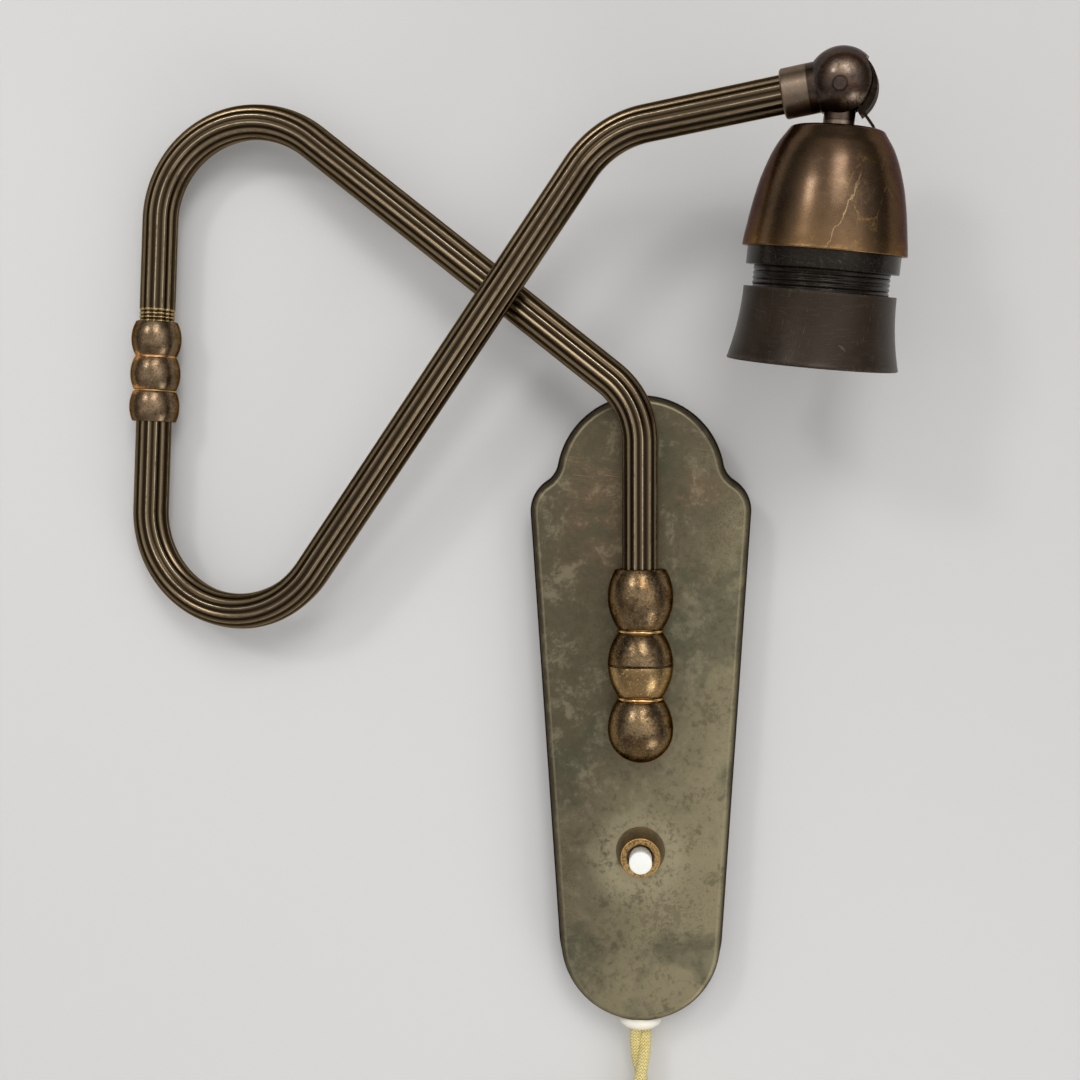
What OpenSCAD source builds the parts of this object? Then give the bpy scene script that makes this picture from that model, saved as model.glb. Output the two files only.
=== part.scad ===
// Swing arm wall lamp, in millimetres, +Z up.
// The wall is the plane y = 0, the lamp stands out towards -Y, and the
// origin lies on the wall between the two wall screws.

/* [Wall plate] */
// Height of the wall plate
plate_h = 203.5; // [192:0.5:215]
// Height of the plate's middle over the origin
plate_mid = -1.15; // [-3:0.05:1]
// Radius of the plate's top arc
top_r = 27.5; // [25:0.5:29]
// Radius of the hollow between the top arc and the shoulder
hollow_r = 8; // [6:0.5:10]
// Radius of the plate's shoulders
shoulder_r = 12; // [9:0.5:14]
// Distance from the plate's top down to the shoulder centres
shoulder_drop = 37.8; // [34:0.1:42]
// Radius of the plate's bottom arc
bottom_r = 26.9; // [22:0.1:28]
// Taper of each side in degrees
side_taper = 3.76; // [2:0.02:5]
// Depth of the plate from the wall
plate_depth = 15; // [13:0.5:18]
// Thickness of the plate's sheet
sheet_t = 1; // [0.6:0.1:1.5]
// Radius of the plate's front edge
edge_r = 2.2; // [1.8:0.1:3]
// How far the rim flares out at the wall
flare = 1.1; // [0.5:0.1:2]

/* [Mounting bar] */
// Thickness of the mounting bar
bar_t = 1.5; // [1:0.1:2.5]
// Width of the mounting bar
bar_w = 22; // [18:1:26]
// Length of the mounting bar
bar_l = 150; // [130:1:160]
// Distance between the two wall screws
screw_pitch = 100; // [80:1:110]
// Diameter of the wall screw holes
screw_hole_d = 5; // [4:0.1:6]
// Height of the cross arm that holds the plate
cross_z = 30; // [22:1:34]
// Diameter of the two side screws
side_screw_d = 3; // [2.5:0.1:3.5]

/* [Lower knuckle] */
// Distance from the wall to the swing axis
axis_out = 27; // [26:0.5:32]
// Height of the seam that turns
seam_z = 15.5; // [12:0.5:20]
// Largest radius of the beads
bead_r = 10.2; // [9.8:0.1:12]
// Radius of the beads' side curve
bead_curve = 17; // [15:0.5:22]
// Half height of a full bead
bead_half = 9.8; // [9:0.1:10.5]
// Height of the grooves between the beads
groove_h = 1.5; // [0.8:0.1:2.5]
// Radius at the bottom of the grooves
groove_r = 6.5; // [6.3:0.1:6.8]
// Thickness of the swing washer
washer_t = 0.5; // [0.3:0.1:1]
// Diameter of the lower spindle
spindle_d = 9; // [8:0.1:9.4]
// Diameter of the stem through the plate
stem_d = 9.7; // [9:0.1:10.4]

/* [Tubes] */
// Outer diameter of the fluted tubes
tube_d = 11.4; // [10.8:0.1:11.8]
// Wall of the tubes
tube_wall = 1; // [0.8:0.1:1.4]
// Number of flutes
flutes = 14; // [8:1:16]
// Depth of the flutes
flute_depth = 0.35; // [0.2:0.05:0.5]
// Radius of the flutes
flute_r = 2.2; // [1.6:0.1:3]

// Number of grooves pressed into the tube above the upper knuckle
crimps = 3; // [1:1:5]
// Distance between those grooves
crimp_pitch = 1.25; // [1.2:0.05:2]

/* [Lower arm] */
// Direction of the lower arm about the swing axis in degrees
arm_1_turn = 173.55; // [165:0.5:180]
// Height of the lower arm's first corner
corner_1_z = 96.9; // [85:0.5:105]
// Bend radius at the first corner
bend_1_r = 26; // [22:0.5:32]
// Distance from the swing axis to the upper knuckle's centre
elbow_out = 159.45; // [145:0.5:175]
// Height of the upper knuckle's centre
elbow_z = 108; // [100:0.5:116]
// Length from the upper knuckle's centre to the arm's top corner
elbow_rise = 112.5; // [100:0.5:125]
// Lean of the upper knuckle in degrees
elbow_lean = 2.71; // [0:0.05:5]
// Bend radius at the top corner
bend_2_r = 32; // [28:0.5:36]

/* [Upper knuckle] */
// Largest radius of the small beads
small_r = 8; // [7.6:0.1:9]
// Radius of the small beads' side curve
small_curve = 11.5; // [10:0.5:14]
// Height of the middle small bead
small_h = 10.5; // [10:0.1:12]
// Height of the top small bead
small_top_h = 11.1; // [10.6:0.1:13]
// Height of the bottom small bead
small_low_h = 9.7; // [9.2:0.1:12]
// Height of the small grooves
small_groove_h = 0.6; // [0.4:0.1:1]
// Diameter of the upper spindle
small_spindle_d = 7; // [6.4:0.1:7.6]

/* [Upper arm] */
// Turn of the upper arm against the lower arm in degrees
arm_2_turn = -186.03; // [-190:0.5:-180]
// Length from the upper knuckle's centre down to the low corner
low_corner = 150.7; // [140:0.5:165]
// Bend radius at the low corner
bend_3_r = 31.7; // [28:0.5:36]
// Reach of the far corner
far_x = 147.75; // [140:0.5:160]
// Rise of the far corner above the upper knuckle's centre
far_z = 75.94; // [70:0.5:85]
// Bend radius at the far corner
bend_4_r = 30; // [24:0.5:36]
// Slope of the end section in degrees
end_slope = 10.6; // [5:0.1:20]
// Length from the far corner to the ball's centre
end_l = 70.6; // [62:0.1:80]

/* [Ball joint] */
// Radius of the ball
ball_r = 10.1; // [9.9:0.1:11]
// Diameter of the ball's sleeve
sleeve_d = 14.5; // [13.2:0.1:15]
// Length from the ball's centre to the sleeve's end
sleeve_l = 17; // [16.6:0.1:22]
// Turn of the ball about its sleeve in degrees
ball_turn = 6.3; // [-10:0.1:20]
// Drop of the tilt pin below the ball's centre
pin_drop = 1.6; // [1:0.1:2]
// Diameter of the tilt pin
pin_d = 3.5; // [3:0.1:4]
// Diameter of the neck
neck_d = 9; // [8:0.1:9.4]
// Lean of the head against the ball in degrees
head_lean = 14.7; // [5:0.1:20]
// Thickness of the slot cover
cover_t = 1.9; // [1.2:0.1:2.4]
// Thickness of the slot cover's tab
tab_t = 0.7; // [0.4:0.1:1]
// How far the slot cover's tab reaches from the tilt pin
tab_r = 14.6; // [12:0.1:14.7]
// How far the slot cover's tab stands beside the tilt pin's radius
tab_off = 0.93; // [0.5:0.01:1.2]
// Radius of the nipple that the ball's sleeve turns on
nipple_r = 4.2; // [3.6:0.1:4.3]

/* [Head] */
// Length from the tilt pin to the cap's top
neck_l = 11.2; // [10.6:0.1:14]
// Height of the cap
cap_h = 35; // [32:0.5:40]
// Radius of the cap's flat top
cap_top_r = 12.1; // [10:0.1:13]
// Radius of the cap's rim
cap_rim_r = 23.9; // [23:0.1:26]
// Thickness of the cap's sheet
cap_t = 1; // [0.7:0.1:1.4]
// Radius of the lampholder's collar
collar_r = 22.2; // [21.2:0.1:22.6]
// Height of the collar below the cap
collar_h = 5.3; // [4:0.1:8]
// Radius of the lampholder's threaded barrel
barrel_r = 19.85; // [18.5:0.05:20.2]
// Length of thread seen between the collar and the shade ring
thread_gap = 6.3; // [5.8:0.1:9]
// Height of the shade ring
ring_h = 21.4; // [18:0.1:26]
// Top radius of the shade ring
ring_top_r = 22.2; // [21.6:0.1:23]
// Bottom radius of the shade ring
ring_low_r = 24.9; // [23.6:0.1:27]
// Thickness of the shade ring
ring_t = 1.5; // [1:0.1:1.6]
// Inner radius of the lamp socket
socket_r = 13.25; // [12.8:0.05:13.6]
// Length of the socket's thread shell
socket_l = 20; // [16:0.5:22]
// Width of the lip that carries the socket's base
lip_w = 1.5; // [1:0.1:3]
// How far the centre contact stands above the socket's base
contact_h = 2; // [1:0.1:2.5]

/* [Switch] */
// Height of the switch, below the middle of the plate
switch_z = -46; // [-52:0.5:-40]
// Radius of the nut at the plate
nut_r = 7.8; // [7.2:0.1:9]
// Radius of the nut's front face
nut_front_r = 6.15; // [5.8:0.05:6.6]
// Height of the nut
nut_h = 9.8; // [8:0.1:12]
// Diameter of the switch's threaded neck
switch_neck_d = 10; // [9.4:0.1:10.6]
// Diameter of the push button
button_d = 7.2; // [6:0.1:7.6]
// Height of the button in front of the nut
button_h = 6.8; // [5:0.1:9]
// Travel of the button
button_travel = 3; // [2:0.5:3.5]

/* [Cord] */
// Diameter round both strands of the cord
cord_d = 7; // [6:0.1:7.4]
// Distance of the cord from the wall
cord_out = 7.5; // [7:0.1:8]
// Largest radius of the bush
bush_r = 6.7; // [6:0.1:6.8]
// Distance between neighbouring loops of the coil
loop_pitch = 7.6; // [7.6:0.1:9]
// Radius of the coil's outer loop
coil_r = 52.8; // [50:0.1:60]
// Full loops in the coil, an even number
coil_loops = 6; // [4:2:6]

/* [Plug] */
// Width of the plug
plug_w = 35.3; // [32:0.1:38]
// Thickness of the plug
plug_t = 13.7; // [12:0.1:16]
// Length of the plug's body
plug_l = 36; // [32:0.5:44]
// Distance between the plug's pins
pin_pitch = 19; // [18:0.1:20]
// Diameter of the plug's pins
plug_pin_d = 4; // [3.6:0.1:4.8]
// Length of the plug's pins
plug_pin_l = 19; // [17:0.5:20]
// Diameter of the pins inside the plug
pin_root_d = 3; // [2.4:0.1:3.4]

/* [Hidden] */
// Radial clearance of a part that turns or slides in another
run_gap = 0.05;
// Radial clearance of a fixed fit
fix_gap = 0.03;
// Clearance between loose neighbours
loose_gap = 0.3;
// Hairline between a bend and the run after it
seam_gap = 0.002;
// Circles
$fn = 64;

// Points of an arc in the plane about c
function arc(c, r, a0, a1, n) =
    [for (i = [0:n]) let (a = a0 + (a1 - a0) * i / n) [c[0] + r * cos(a), c[1] + r * sin(a)]];
// Side curve of a bead: zm is its widest height, rm its radius there
function bead(zm, rm, z0, z1, curve, n = 8) =
    [for (i = [0:n]) let (z = z0 + (z1 - z0) * i / n)
        [rm - curve + sqrt(curve * curve - (z - zm) * (z - zm)), z]];
// Points of a curve that leaves a towards b and arrives at c from b
function bow(a, b, c, n) =
    [for (i = [0:n]) let (u = i / n) (1 - u) * (1 - u) * a + 2 * u * (1 - u) * b + u * u * c];
function flip(list) = [for (i = [len(list) - 1:-1:0]) list[i]];
function tail(list) = [for (i = [1:len(list) - 1]) list[i]];
function total(list, i = 0) = i < len(list) ? list[i] + total(list, i + 1) : 0;

// The plate's outline, drawn in by d, from the top round by the right
plate_top = plate_mid + plate_h / 2;
plate_low = plate_mid - plate_h / 2;
top_c = [0, plate_top - top_r];
low_c = [0, plate_low + bottom_r];
sh_z = plate_top - shoulder_drop;
sh_c = [(bottom_r - shoulder_r + (sh_z - low_c[1]) * sin(side_taper)) / cos(side_taper), sh_z];
to_sh = sh_c - top_c;
hollow_cos = (pow(top_r + hollow_r, 2) + to_sh * to_sh - pow(shoulder_r + hollow_r, 2))
    / (2 * (top_r + hollow_r) * norm(to_sh));
top_end = atan2(to_sh[1], to_sh[0]) + acos(hollow_cos);
hollow_c = top_c + (top_r + hollow_r) * [cos(top_end), sin(top_end)];
sh_start = atan2(hollow_c[1] - sh_c[1], hollow_c[0] - sh_c[0]);
function half_outline(d) = concat(
    arc(top_c, top_r - d, 90, top_end, 12),
    tail(arc(hollow_c, hollow_r + d, 180 + top_end, 180 + sh_start, 6)),
    tail(arc(sh_c, shoulder_r - d, sh_start, -side_taper, 8)),
    arc(low_c, bottom_r - d, -side_taper, -90, 14));
function outline(d) = let (h = half_outline(d))
    concat(h, [for (i = [len(h) - 2:-1:1]) [-h[i][0], h[i][1]]]);
// Half width of the plate's side at height z, drawn in by d
function side_x(z, d) = (low_c * [cos(side_taper), -sin(side_taper)] + bottom_r - d
    + z * sin(side_taper)) / cos(side_taper);
wall_in = flare + 0.2;
// Each ring of the shell is [how far it is drawn in, distance from the wall]
plate_rings = concat(
    [[0, 0], [0, 0.6]],
    [for (a = [30:30:90]) [flare * sin(a), 0.6 + 2 * (1 - cos(a))]],
    [[wall_in, plate_depth - edge_r]],
    [for (a = [18:18:90]) [wall_in + edge_r * (1 - cos(a)), plate_depth - edge_r + edge_r * sin(a)]],
    [for (a = [90:-30:0]) [wall_in + sheet_t + (edge_r - sheet_t) * (1 - cos(a)),
        plate_depth - edge_r + (edge_r - sheet_t) * sin(a)]],
    [[flare + sheet_t, 2.6 + sheet_t], [sheet_t, 0.6 + sheet_t], [sheet_t, 0]]);
front_ring = 10;
hole_z = -5;
block_z = 7.5 - bar_l / 2;

// Heights and places of the lower knuckle
base_top = seam_z - washer_t / 2;
turret_low = seam_z + washer_t / 2;
groove_low_top = seam_z - bead_half;
groove_low = groove_low_top - groove_h;
ball_z = hole_z;
groove_up = seam_z + bead_half;
turret_bead = groove_up + groove_h + bead_half;
turret_top = turret_bead + bead_half - 1.1;
turret_socket = turret_top - 11.3;
cavity_r = 6;
cavity_top = groove_low - 1.9;
cavity_low = -10;
plug_r = cavity_r - fix_gap;
stem_in = axis_out - cavity_r + 0.2;

// Places along the two arms
tube_r = tube_d / 2;
bore_r = tube_r - tube_wall;
socket_bore_r = tube_r + run_gap;
top_corner = [elbow_out - elbow_rise * sin(elbow_lean), elbow_z + elbow_rise * cos(elbow_lean)];
elbow_top = small_h / 2 + small_groove_h / 2 + small_groove_h / 2 + small_top_h;
elbow_seam = small_h / 2 + small_groove_h;
elbow_low = elbow_seam + small_low_h;
elbow_tube = elbow_top - 8;
lower_tube = elbow_low - 6;
tube_1_end = [elbow_out - elbow_tube * sin(elbow_lean), elbow_z + elbow_tube * cos(elbow_lean)];
far_corner = [far_x, far_z];
end_dir = [cos(end_slope), sin(end_slope)];
ball_at = far_corner + end_l * end_dir;
tube_2_end = far_corner + (end_l - sleeve_l + 2.5) * end_dir;

// Heights below the tilt pin, along the head
cap_top = neck_l;
cap_rim = neck_l + cap_h;
collar_low = cap_rim + collar_h;
ring_top = collar_low + thread_gap;
ring_low = ring_top + ring_h;
barrel_low = ring_low - 5;
socket_top = barrel_low - 2 - socket_l;
contact_seat = socket_top - 0.1 - contact_h;
cheek_gap = 2 * run_gap;
slot_w = neck_d + cheek_gap;
roof_r = 10.2;
cover_r = roof_r - 0.2;
cover_from = -64.5;
cover_to = 42;
tilt_range = 90;

// The cord's own route
bush_low = 2.8;
drop_straight = 126;
drop_bend = 30;
coil_start = 120;
coil_end = 180;
coil_steps = 24;
turns = coil_loops + (coil_end - coil_start) / 360;
layer_1 = -cord_out;
layer_2 = -cord_out - loop_pitch;
drift = atan(loop_pitch / (2 * PI) / coil_r);
drop_turn = 180 - coil_start - drift;
tail_l = 60;

module place_elbow() {
    translate([0, -axis_out, 0]) rotate([0, 0, arm_1_turn])
        translate([elbow_out, 0, elbow_z]) rotate([0, -elbow_lean, 0]) children();
}
module place_lower_arm() {
    translate([0, -axis_out, 0]) rotate([0, 0, arm_1_turn]) children();
}
module place_upper_arm() {
    place_elbow() rotate([0, 0, arm_2_turn]) children();
}
module place_ball() {
    place_upper_arm() translate([ball_at[0], 0, ball_at[1]])
        rotate([0, -end_slope, 0]) rotate([ball_turn, 0, 0]) children();
}
module place_pin() {
    place_ball() translate([0, 0, -pin_drop]) children();
}
// Here z runs down the head from the tilt pin
module place_head() {
    place_pin() rotate([0, head_lean, 0]) rotate([180, 0, 0]) children();
}
module ring(r, bore, h) {
    difference() {
        cylinder(r = r, h = h);
        translate([0, 0, -1]) cylinder(r = bore, h = h + 2);
    }
}
// A cylinder that stands out from the wall, from depth a to depth b
module out_cylinder(r, a, b) {
    translate([0, -a, 0]) rotate([90, 0, 0]) rotate([0, 0, 35]) cylinder(r = r, h = b - a);
}

module flute_section() {
    difference() {
        circle(r = tube_r);
        circle(r = bore_r);
        for (i = [0:flutes - 1])
            rotate((i + 0.5) * 360 / flutes) translate([tube_r + flute_r - flute_depth, 0])
                circle(r = flute_r);
    }
}
function heading(p, q) = atan2(q[0] - p[0], q[1] - p[1]);
function wrap(a) = a > 180 ? a - 360 : a < -180 ? a + 360 : a;
function fine(v) = round(v * 1000) / 1000;
// A straight run of the section up z, with the rest of the path at its end
module run(l) {
    linear_extrude(height = fine(l)) children(0);
    if ($children > 1) translate([0, 0, fine(l)]) children(1);
}
// A bend of radius r in the XZ plane, to the right where turn is above 0, and
// a band inside the wall that joins it to the next run
module bend(r, turn) {
    s = turn > 0 ? 1 : -1;
    t = fine(abs(turn));
    translate([s * r, 0, 0]) {
        rotate([0, 0, s > 0 ? 180 : 0]) rotate([90, 0, 0])
            rotate_extrude(angle = t) translate([r, 0]) children(0);
        rotate([0, s * t, 0]) translate([-s * r, 0, 0]) {
            translate([0, 0, -0.5]) difference() {
                cylinder(r = tube_r - flute_depth - 0.15, h = 1);
                translate([0, 0, -1]) cylinder(r = bore_r + 0.15, h = 3);
            }
            translate([0, 0, seam_gap]) children(1);
        }
    }
}
// The section from a to d, with a bend at each of the corners b and c
module two_bends(a, b, r_b, c, r_c, d) {
    h1 = heading(a, b);
    t1 = wrap(heading(b, c) - h1);
    t2 = wrap(heading(c, d) - heading(b, c));
    l1 = r_b * tan(abs(t1) / 2);
    l2 = r_c * tan(abs(t2) / 2);
    translate([a[0], 0, a[1]]) rotate([0, h1, 0]) run(norm(b - a) - l1) {
        children();
        bend(r_b, t1) {
            children();
            run(norm(c - b) - l1 - l2) {
                children();
                bend(r_c, t2) {
                    children();
                    run(norm(d - c) - l2) {
                        children();
                    }
                }
            }
        }
    }
}

// Wall plate and what it hides

module mounting_bar() {
    ear_x = side_x(cross_z, wall_in + sheet_t) - 0.9;
    color("silver") difference() {
        union() {
            translate([-bar_w / 2, -bar_t, -bar_l / 2]) cube([bar_w, bar_t, bar_l]);
            translate([-ear_x, -bar_t, cross_z - 7]) cube([2 * ear_x, bar_t, 14]);
            for (s = [-1, 1])
                translate([s > 0 ? ear_x - bar_t : -ear_x, -10.5, cross_z - 7])
                    cube([bar_t, 10.5, 14]);
        }
        for (s = [-1, 1])
            translate([0, 0, s * screw_pitch / 2]) out_cylinder(screw_hole_d / 2, -1, 4);
        translate([-40, -7.5, cross_z]) rotate([0, 90, 0])
            cylinder(d = side_screw_d + 2 * fix_gap, h = 80);
    }
}

module cover_plate() {
    rows = [for (k = plate_rings) outline(k[0])];
    n = len(rows[0]);
    m = len(plate_rings);
    points = [for (j = [0:m - 1]) for (p = rows[j]) [p[0], -plate_rings[j][1], p[1]]];
    sides = [for (j = [0:m - 1]) if (j != front_ring) for (i = [0:n - 1])
        let (a = j * n + i, b = j * n + (i + 1) % n,
            c = ((j + 1) % m) * n + (i + 1) % n, d = ((j + 1) % m) * n + i)
        each [[a, b, c], [a, c, d]]];
    front = [for (i = [0:n - 1]) front_ring * n + i];
    back = [for (i = [n - 1:-1:0]) (front_ring + 1) * n + i];
    color("darkkhaki") difference() {
        polyhedron(points, concat([for (f = sides) flip(f)], [flip(front)], [flip(back)]));
        translate([0, 0, hole_z]) out_cylinder(stem_d / 2 + fix_gap, 5, 30);
        translate([0, 0, switch_z]) out_cylinder(switch_neck_d / 2 + fix_gap, 5, 30);
        translate([-50, -7.5, cross_z]) rotate([0, 90, 0])
            cylinder(d = side_screw_d + 2 * fix_gap, h = 100);
        translate([0, -cord_out, plate_low - 5]) cylinder(r = bush_r - 2 + fix_gap, h = 12);
    }
}

module side_screws() {
    ear_x = side_x(cross_z, wall_in + sheet_t) - 0.9;
    out_x = side_x(cross_z, wall_in) - 0.2;
    color("dimgray") for (s = [-1, 1])
        translate([s > 0 ? ear_x - 3 : -out_x, -7.5, cross_z]) rotate([0, 90, 0])
            cylinder(d = side_screw_d, h = out_x - ear_x + 3);
}

module switch_body() {
    back = 4.5;
    inner = plate_depth - sheet_t;
    color("ivory") translate([0, 0, switch_z]) difference() {
        union() {
            out_cylinder(nut_r - 0.4, back, inner);
            out_cylinder(switch_neck_d / 2, inner - 0.1, plate_depth + nut_h - 4);
        }
        out_cylinder(button_d / 2 + 0.1, plate_depth - 3.2, plate_depth + nut_h);
    }
}

module switch_nut() {
    color("saddlebrown") translate([0, -plate_depth, switch_z]) rotate([90, 0, 0]) difference() {
        rotate_extrude() polygon([[0, 0], [nut_r, 0], [nut_r, 0.6], [nut_front_r + 0.25, nut_h - 0.3],
            [nut_front_r, nut_h], [0, nut_h]]);
        translate([0, 0, -1]) cylinder(d = switch_neck_d + 2 * fix_gap, h = nut_h - 2.9);
        translate([0, 0, -1]) cylinder(r = button_d / 2 + 0.35, h = nut_h + 2);
    }
}

module push_button() {
    r = button_d / 2;
    out = nut_h + button_h;
    inner = button_travel - 2.4;
    color("white") translate([0, -plate_depth, switch_z]) rotate([90, 0, 0])
        rotate_extrude() polygon(concat([[0, inner], [r, inner]],
            arc([r - 0.5, out - 0.7], 0.5, 0, 60, 4), [[r - 1.2, out], [0, out]]));
}

module terminal_block() {
    color("white") difference() {
        translate([-12, -bar_t - 8, block_z - 5.5]) cube([24, 8, 11]);
        for (s = [-1, 1]) {
            translate([s * 5.5, -bar_t - 5, block_z - 12]) cylinder(d = 3.4, h = 25);
            translate([s * 5.5, 0, block_z]) out_cylinder(2, bar_t + 4, bar_t + 9);
        }
    }
}

module terminal_screws() {
    color("goldenrod") for (s = [-1, 1])
        translate([s * 5.5, 0, block_z]) out_cylinder(2 - fix_gap, bar_t + 6.9, bar_t + 9.4);
}

// Lower knuckle

module knuckle_base() {
    spindle_bore = spindle_d / 2 + run_gap;
    color("rosybrown") translate([0, -axis_out, 0]) difference() {
        rotate_extrude() polygon(concat([[spindle_bore, base_top]],
            bead(seam_z, bead_r, base_top, groove_low_top, bead_curve),
            [[groove_r, groove_low_top], [groove_r, groove_low]],
            bead(ball_z, bead_r, groove_low, ball_z, bead_curve),
            tail(arc([0, ball_z], bead_r, 0, -acos(cavity_r / bead_r), 9)),
            [[cavity_r, cavity_top], [spindle_bore, cavity_top]]));
        translate([0, axis_out, hole_z]) out_cylinder(stem_d / 2 + fix_gap, 5, axis_out - 3);
    }
}

module base_plug() {
    color("rosybrown") translate([0, -axis_out, 0]) intersection() {
        rotate_extrude() polygon(concat([[0, ball_z]], arc([0, ball_z], bead_r, 0, -90, 12)));
        translate([0, 0, -40]) cylinder(r = plug_r, h = 40 + cavity_low);
    }
}

module stem() {
    color("goldenrod") translate([0, 0, hole_z]) difference() {
        out_cylinder(stem_d / 2, 6, stem_in);
        out_cylinder(3.2, 5, stem_in + 1);
    }
}

// A saddle between the plate and the round of the bead
module stem_collar() {
    color("rosybrown") difference() {
        translate([0, 0, hole_z]) out_cylinder(6.2, plate_depth, axis_out - 7);
        translate([0, 0, hole_z]) out_cylinder(stem_d / 2 + fix_gap, 5, 40);
        translate([0, -axis_out, -50]) cylinder(r = bead_r + 0.05, h = 100);
    }
}

module stem_washer() {
    color("silver") translate([0, 0, hole_z]) difference() {
        out_cylinder(8, plate_depth - sheet_t - 1, plate_depth - sheet_t);
        out_cylinder(stem_d / 2 + fix_gap, 5, 40);
    }
}

module stem_nut() {
    color("goldenrod") translate([0, -plate_depth + sheet_t + 4.5, hole_z]) rotate([90, 0, 0])
        difference() {
            cylinder(r = 8.2, h = 3.5, $fn = 6);
            translate([0, 0, -1]) cylinder(d = stem_d + 2 * fix_gap, h = 6);
        }
}

module lower_swing_washer() {
    color("gold") translate([0, -axis_out, base_top])
        ring(bead_r + 0.15, spindle_d / 2 + 0.15, washer_t);
}

module knuckle_turret() {
    color("rosybrown") translate([0, -axis_out, 0]) difference() {
        union() {
            rotate_extrude() polygon(concat([[0, turret_low]],
                bead(seam_z, bead_r, turret_low, groove_up, bead_curve),
                [[groove_r, groove_up], [groove_r, groove_up + groove_h]],
                bead(turret_bead, bead_r, groove_up + groove_h, turret_top, bead_curve, 14),
                [[0, turret_top]]));
            translate([0, 0, cavity_top - 4.6]) cylinder(d = spindle_d, h = 20);
        }
        translate([0, 0, cavity_top - 6]) cylinder(r = 2.6, h = 60);
        translate([0, 0, turret_socket]) cylinder(r = socket_bore_r, h = 40);
    }
}

module lower_spindle_nut() {
    color("goldenrod") translate([0, -axis_out, cavity_top - 4.3])
        ring(cavity_r - 0.5, spindle_d / 2 + fix_gap, 4.2);
}

// Lower arm

module lower_arm_tube() {
    color("darkolivegreen") difference() {
        place_lower_arm() two_bends([0, turret_socket], [0, corner_1_z], bend_1_r,
            top_corner, bend_2_r, tube_1_end) flute_section();
        place_elbow() for (i = [0:crimps - 1]) translate([0, 0, elbow_top + 0.7 + i * crimp_pitch])
            rotate_extrude() translate([tube_r + 0.15, 0]) circle(r = 0.5, $fn = 24);
    }
}

module elbow_upper() {
    h = small_h / 2;
    g = small_groove_h;
    top_m = h + g + small_top_h / 2;
    color("peru") place_elbow() difference() {
        rotate_extrude() polygon(concat([[0, -h]],
            bead(0, small_r, -h, h, small_curve, 10),
            [[6.5, h], [6.5, h + g]],
            bead(top_m, small_r, h + g, elbow_top, small_curve, 10),
            [[0, elbow_top]]));
        translate([0, 0, elbow_tube]) cylinder(r = socket_bore_r, h = 20);
        translate([0, 0, 4.3]) cylinder(r = 4.9, h = 10);
        translate([0, 0, -20]) cylinder(r = small_spindle_d / 2 + run_gap, h = 30);
    }
}

module upper_swing_washer() {
    color("gold") place_elbow() translate([0, 0, -elbow_seam])
        ring(6.5, small_spindle_d / 2 + 0.15, small_groove_h);
}

// Upper arm

module elbow_lower() {
    low_m = -elbow_seam - small_low_h / 2;
    color("peru") place_elbow() difference() {
        union() {
            rotate_extrude() polygon(concat([[0, -elbow_low]],
                bead(low_m, small_r, -elbow_low, -elbow_seam, small_curve, 10),
                [[0, -elbow_seam]]));
            translate([0, 0, -elbow_seam - 1]) cylinder(d = small_spindle_d, h = elbow_seam + 7);
        }
        translate([0, 0, -30]) cylinder(r = 2.2, h = 60);
        translate([0, 0, -elbow_low - 1]) cylinder(r = socket_bore_r, h = elbow_low + 1 - lower_tube);
    }
}

module upper_spindle_clip() {
    color("goldenrod") place_elbow() translate([0, 0, 4.4])
        ring(4.6, small_spindle_d / 2 + fix_gap, 1.2);
}

module upper_arm_tube() {
    color("darkolivegreen") place_upper_arm()
        two_bends([0, -lower_tube], [0, -low_corner], bend_3_r, far_corner, bend_4_r, tube_2_end)
            flute_section();
}

module along_end(r, a, b) {
    translate([-a, 0, 0]) rotate([0, 90, 0]) cylinder(r = r, h = a - b);
}

module swivel_nipple() {
    color("goldenrod") place_upper_arm() translate([ball_at[0], 0, ball_at[1]])
        rotate([0, -end_slope, 0]) difference() {
            union() {
                along_end(nipple_r, 26, 8.6);
                along_end(bore_r - fix_gap, 26, sleeve_l - 2.5);
            }
            along_end(3, 30, 0);
        }
}

module nipple_clip() {
    color("silver") place_upper_arm() translate([ball_at[0], 0, ball_at[1]])
        rotate([0, -end_slope, 0]) difference() {
            along_end(nipple_r + 0.8, 10.4, 9.6);
            along_end(nipple_r + fix_gap, 11, 9);
        }
}

// Ball joint

// The space in which the neck and the slot cover swing, seen from the front
module slot_shape() {
    low = -90 - head_lean;
    circle(r = neck_d / 2 + 0.1);
    rotate(low) translate([0, -neck_d / 2 - 0.2]) square([16, neck_d + 0.4]);
    polygon(concat([[0, 0]], arc([0, 0], 16, low, cover_to - 2, 4)));
    intersection() {
        circle(r = roof_r);
        polygon(concat([[0, 0]], arc([0, 0], 16, low, cover_to + tilt_range + 1, 6)));
    }
}

module ball_joint() {
    color("saddlebrown") place_ball() difference() {
        union() {
            sphere(r = ball_r);
            translate([-sleeve_l, 0, 0]) rotate([0, 90, 0]) rotate_extrude()
                polygon(concat([[0, 0]], arc([sleeve_d / 2 - 0.8, 0.8], 0.8, -90, 0, 4),
                    [[sleeve_d / 2, sleeve_l - 4], [0, sleeve_l - 4]]));
        }
        along_end(tube_r + 0.1, sleeve_l + 1, sleeve_l - 2.7);
        along_end(nipple_r + run_gap, sleeve_l + 1, 8);
        along_end(nipple_r + 1, 10.5, 9.5);
        along_end(2.6, 12, 4);
        translate([0, 0, -pin_drop]) rotate([90, 0, 0])
            linear_extrude(height = slot_w, center = true) slot_shape();
        translate([0, 0, -pin_drop]) rotate([90, 0, 0])
            cylinder(d = pin_d + 2 * fix_gap, h = 40, center = true);
    }
}

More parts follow.
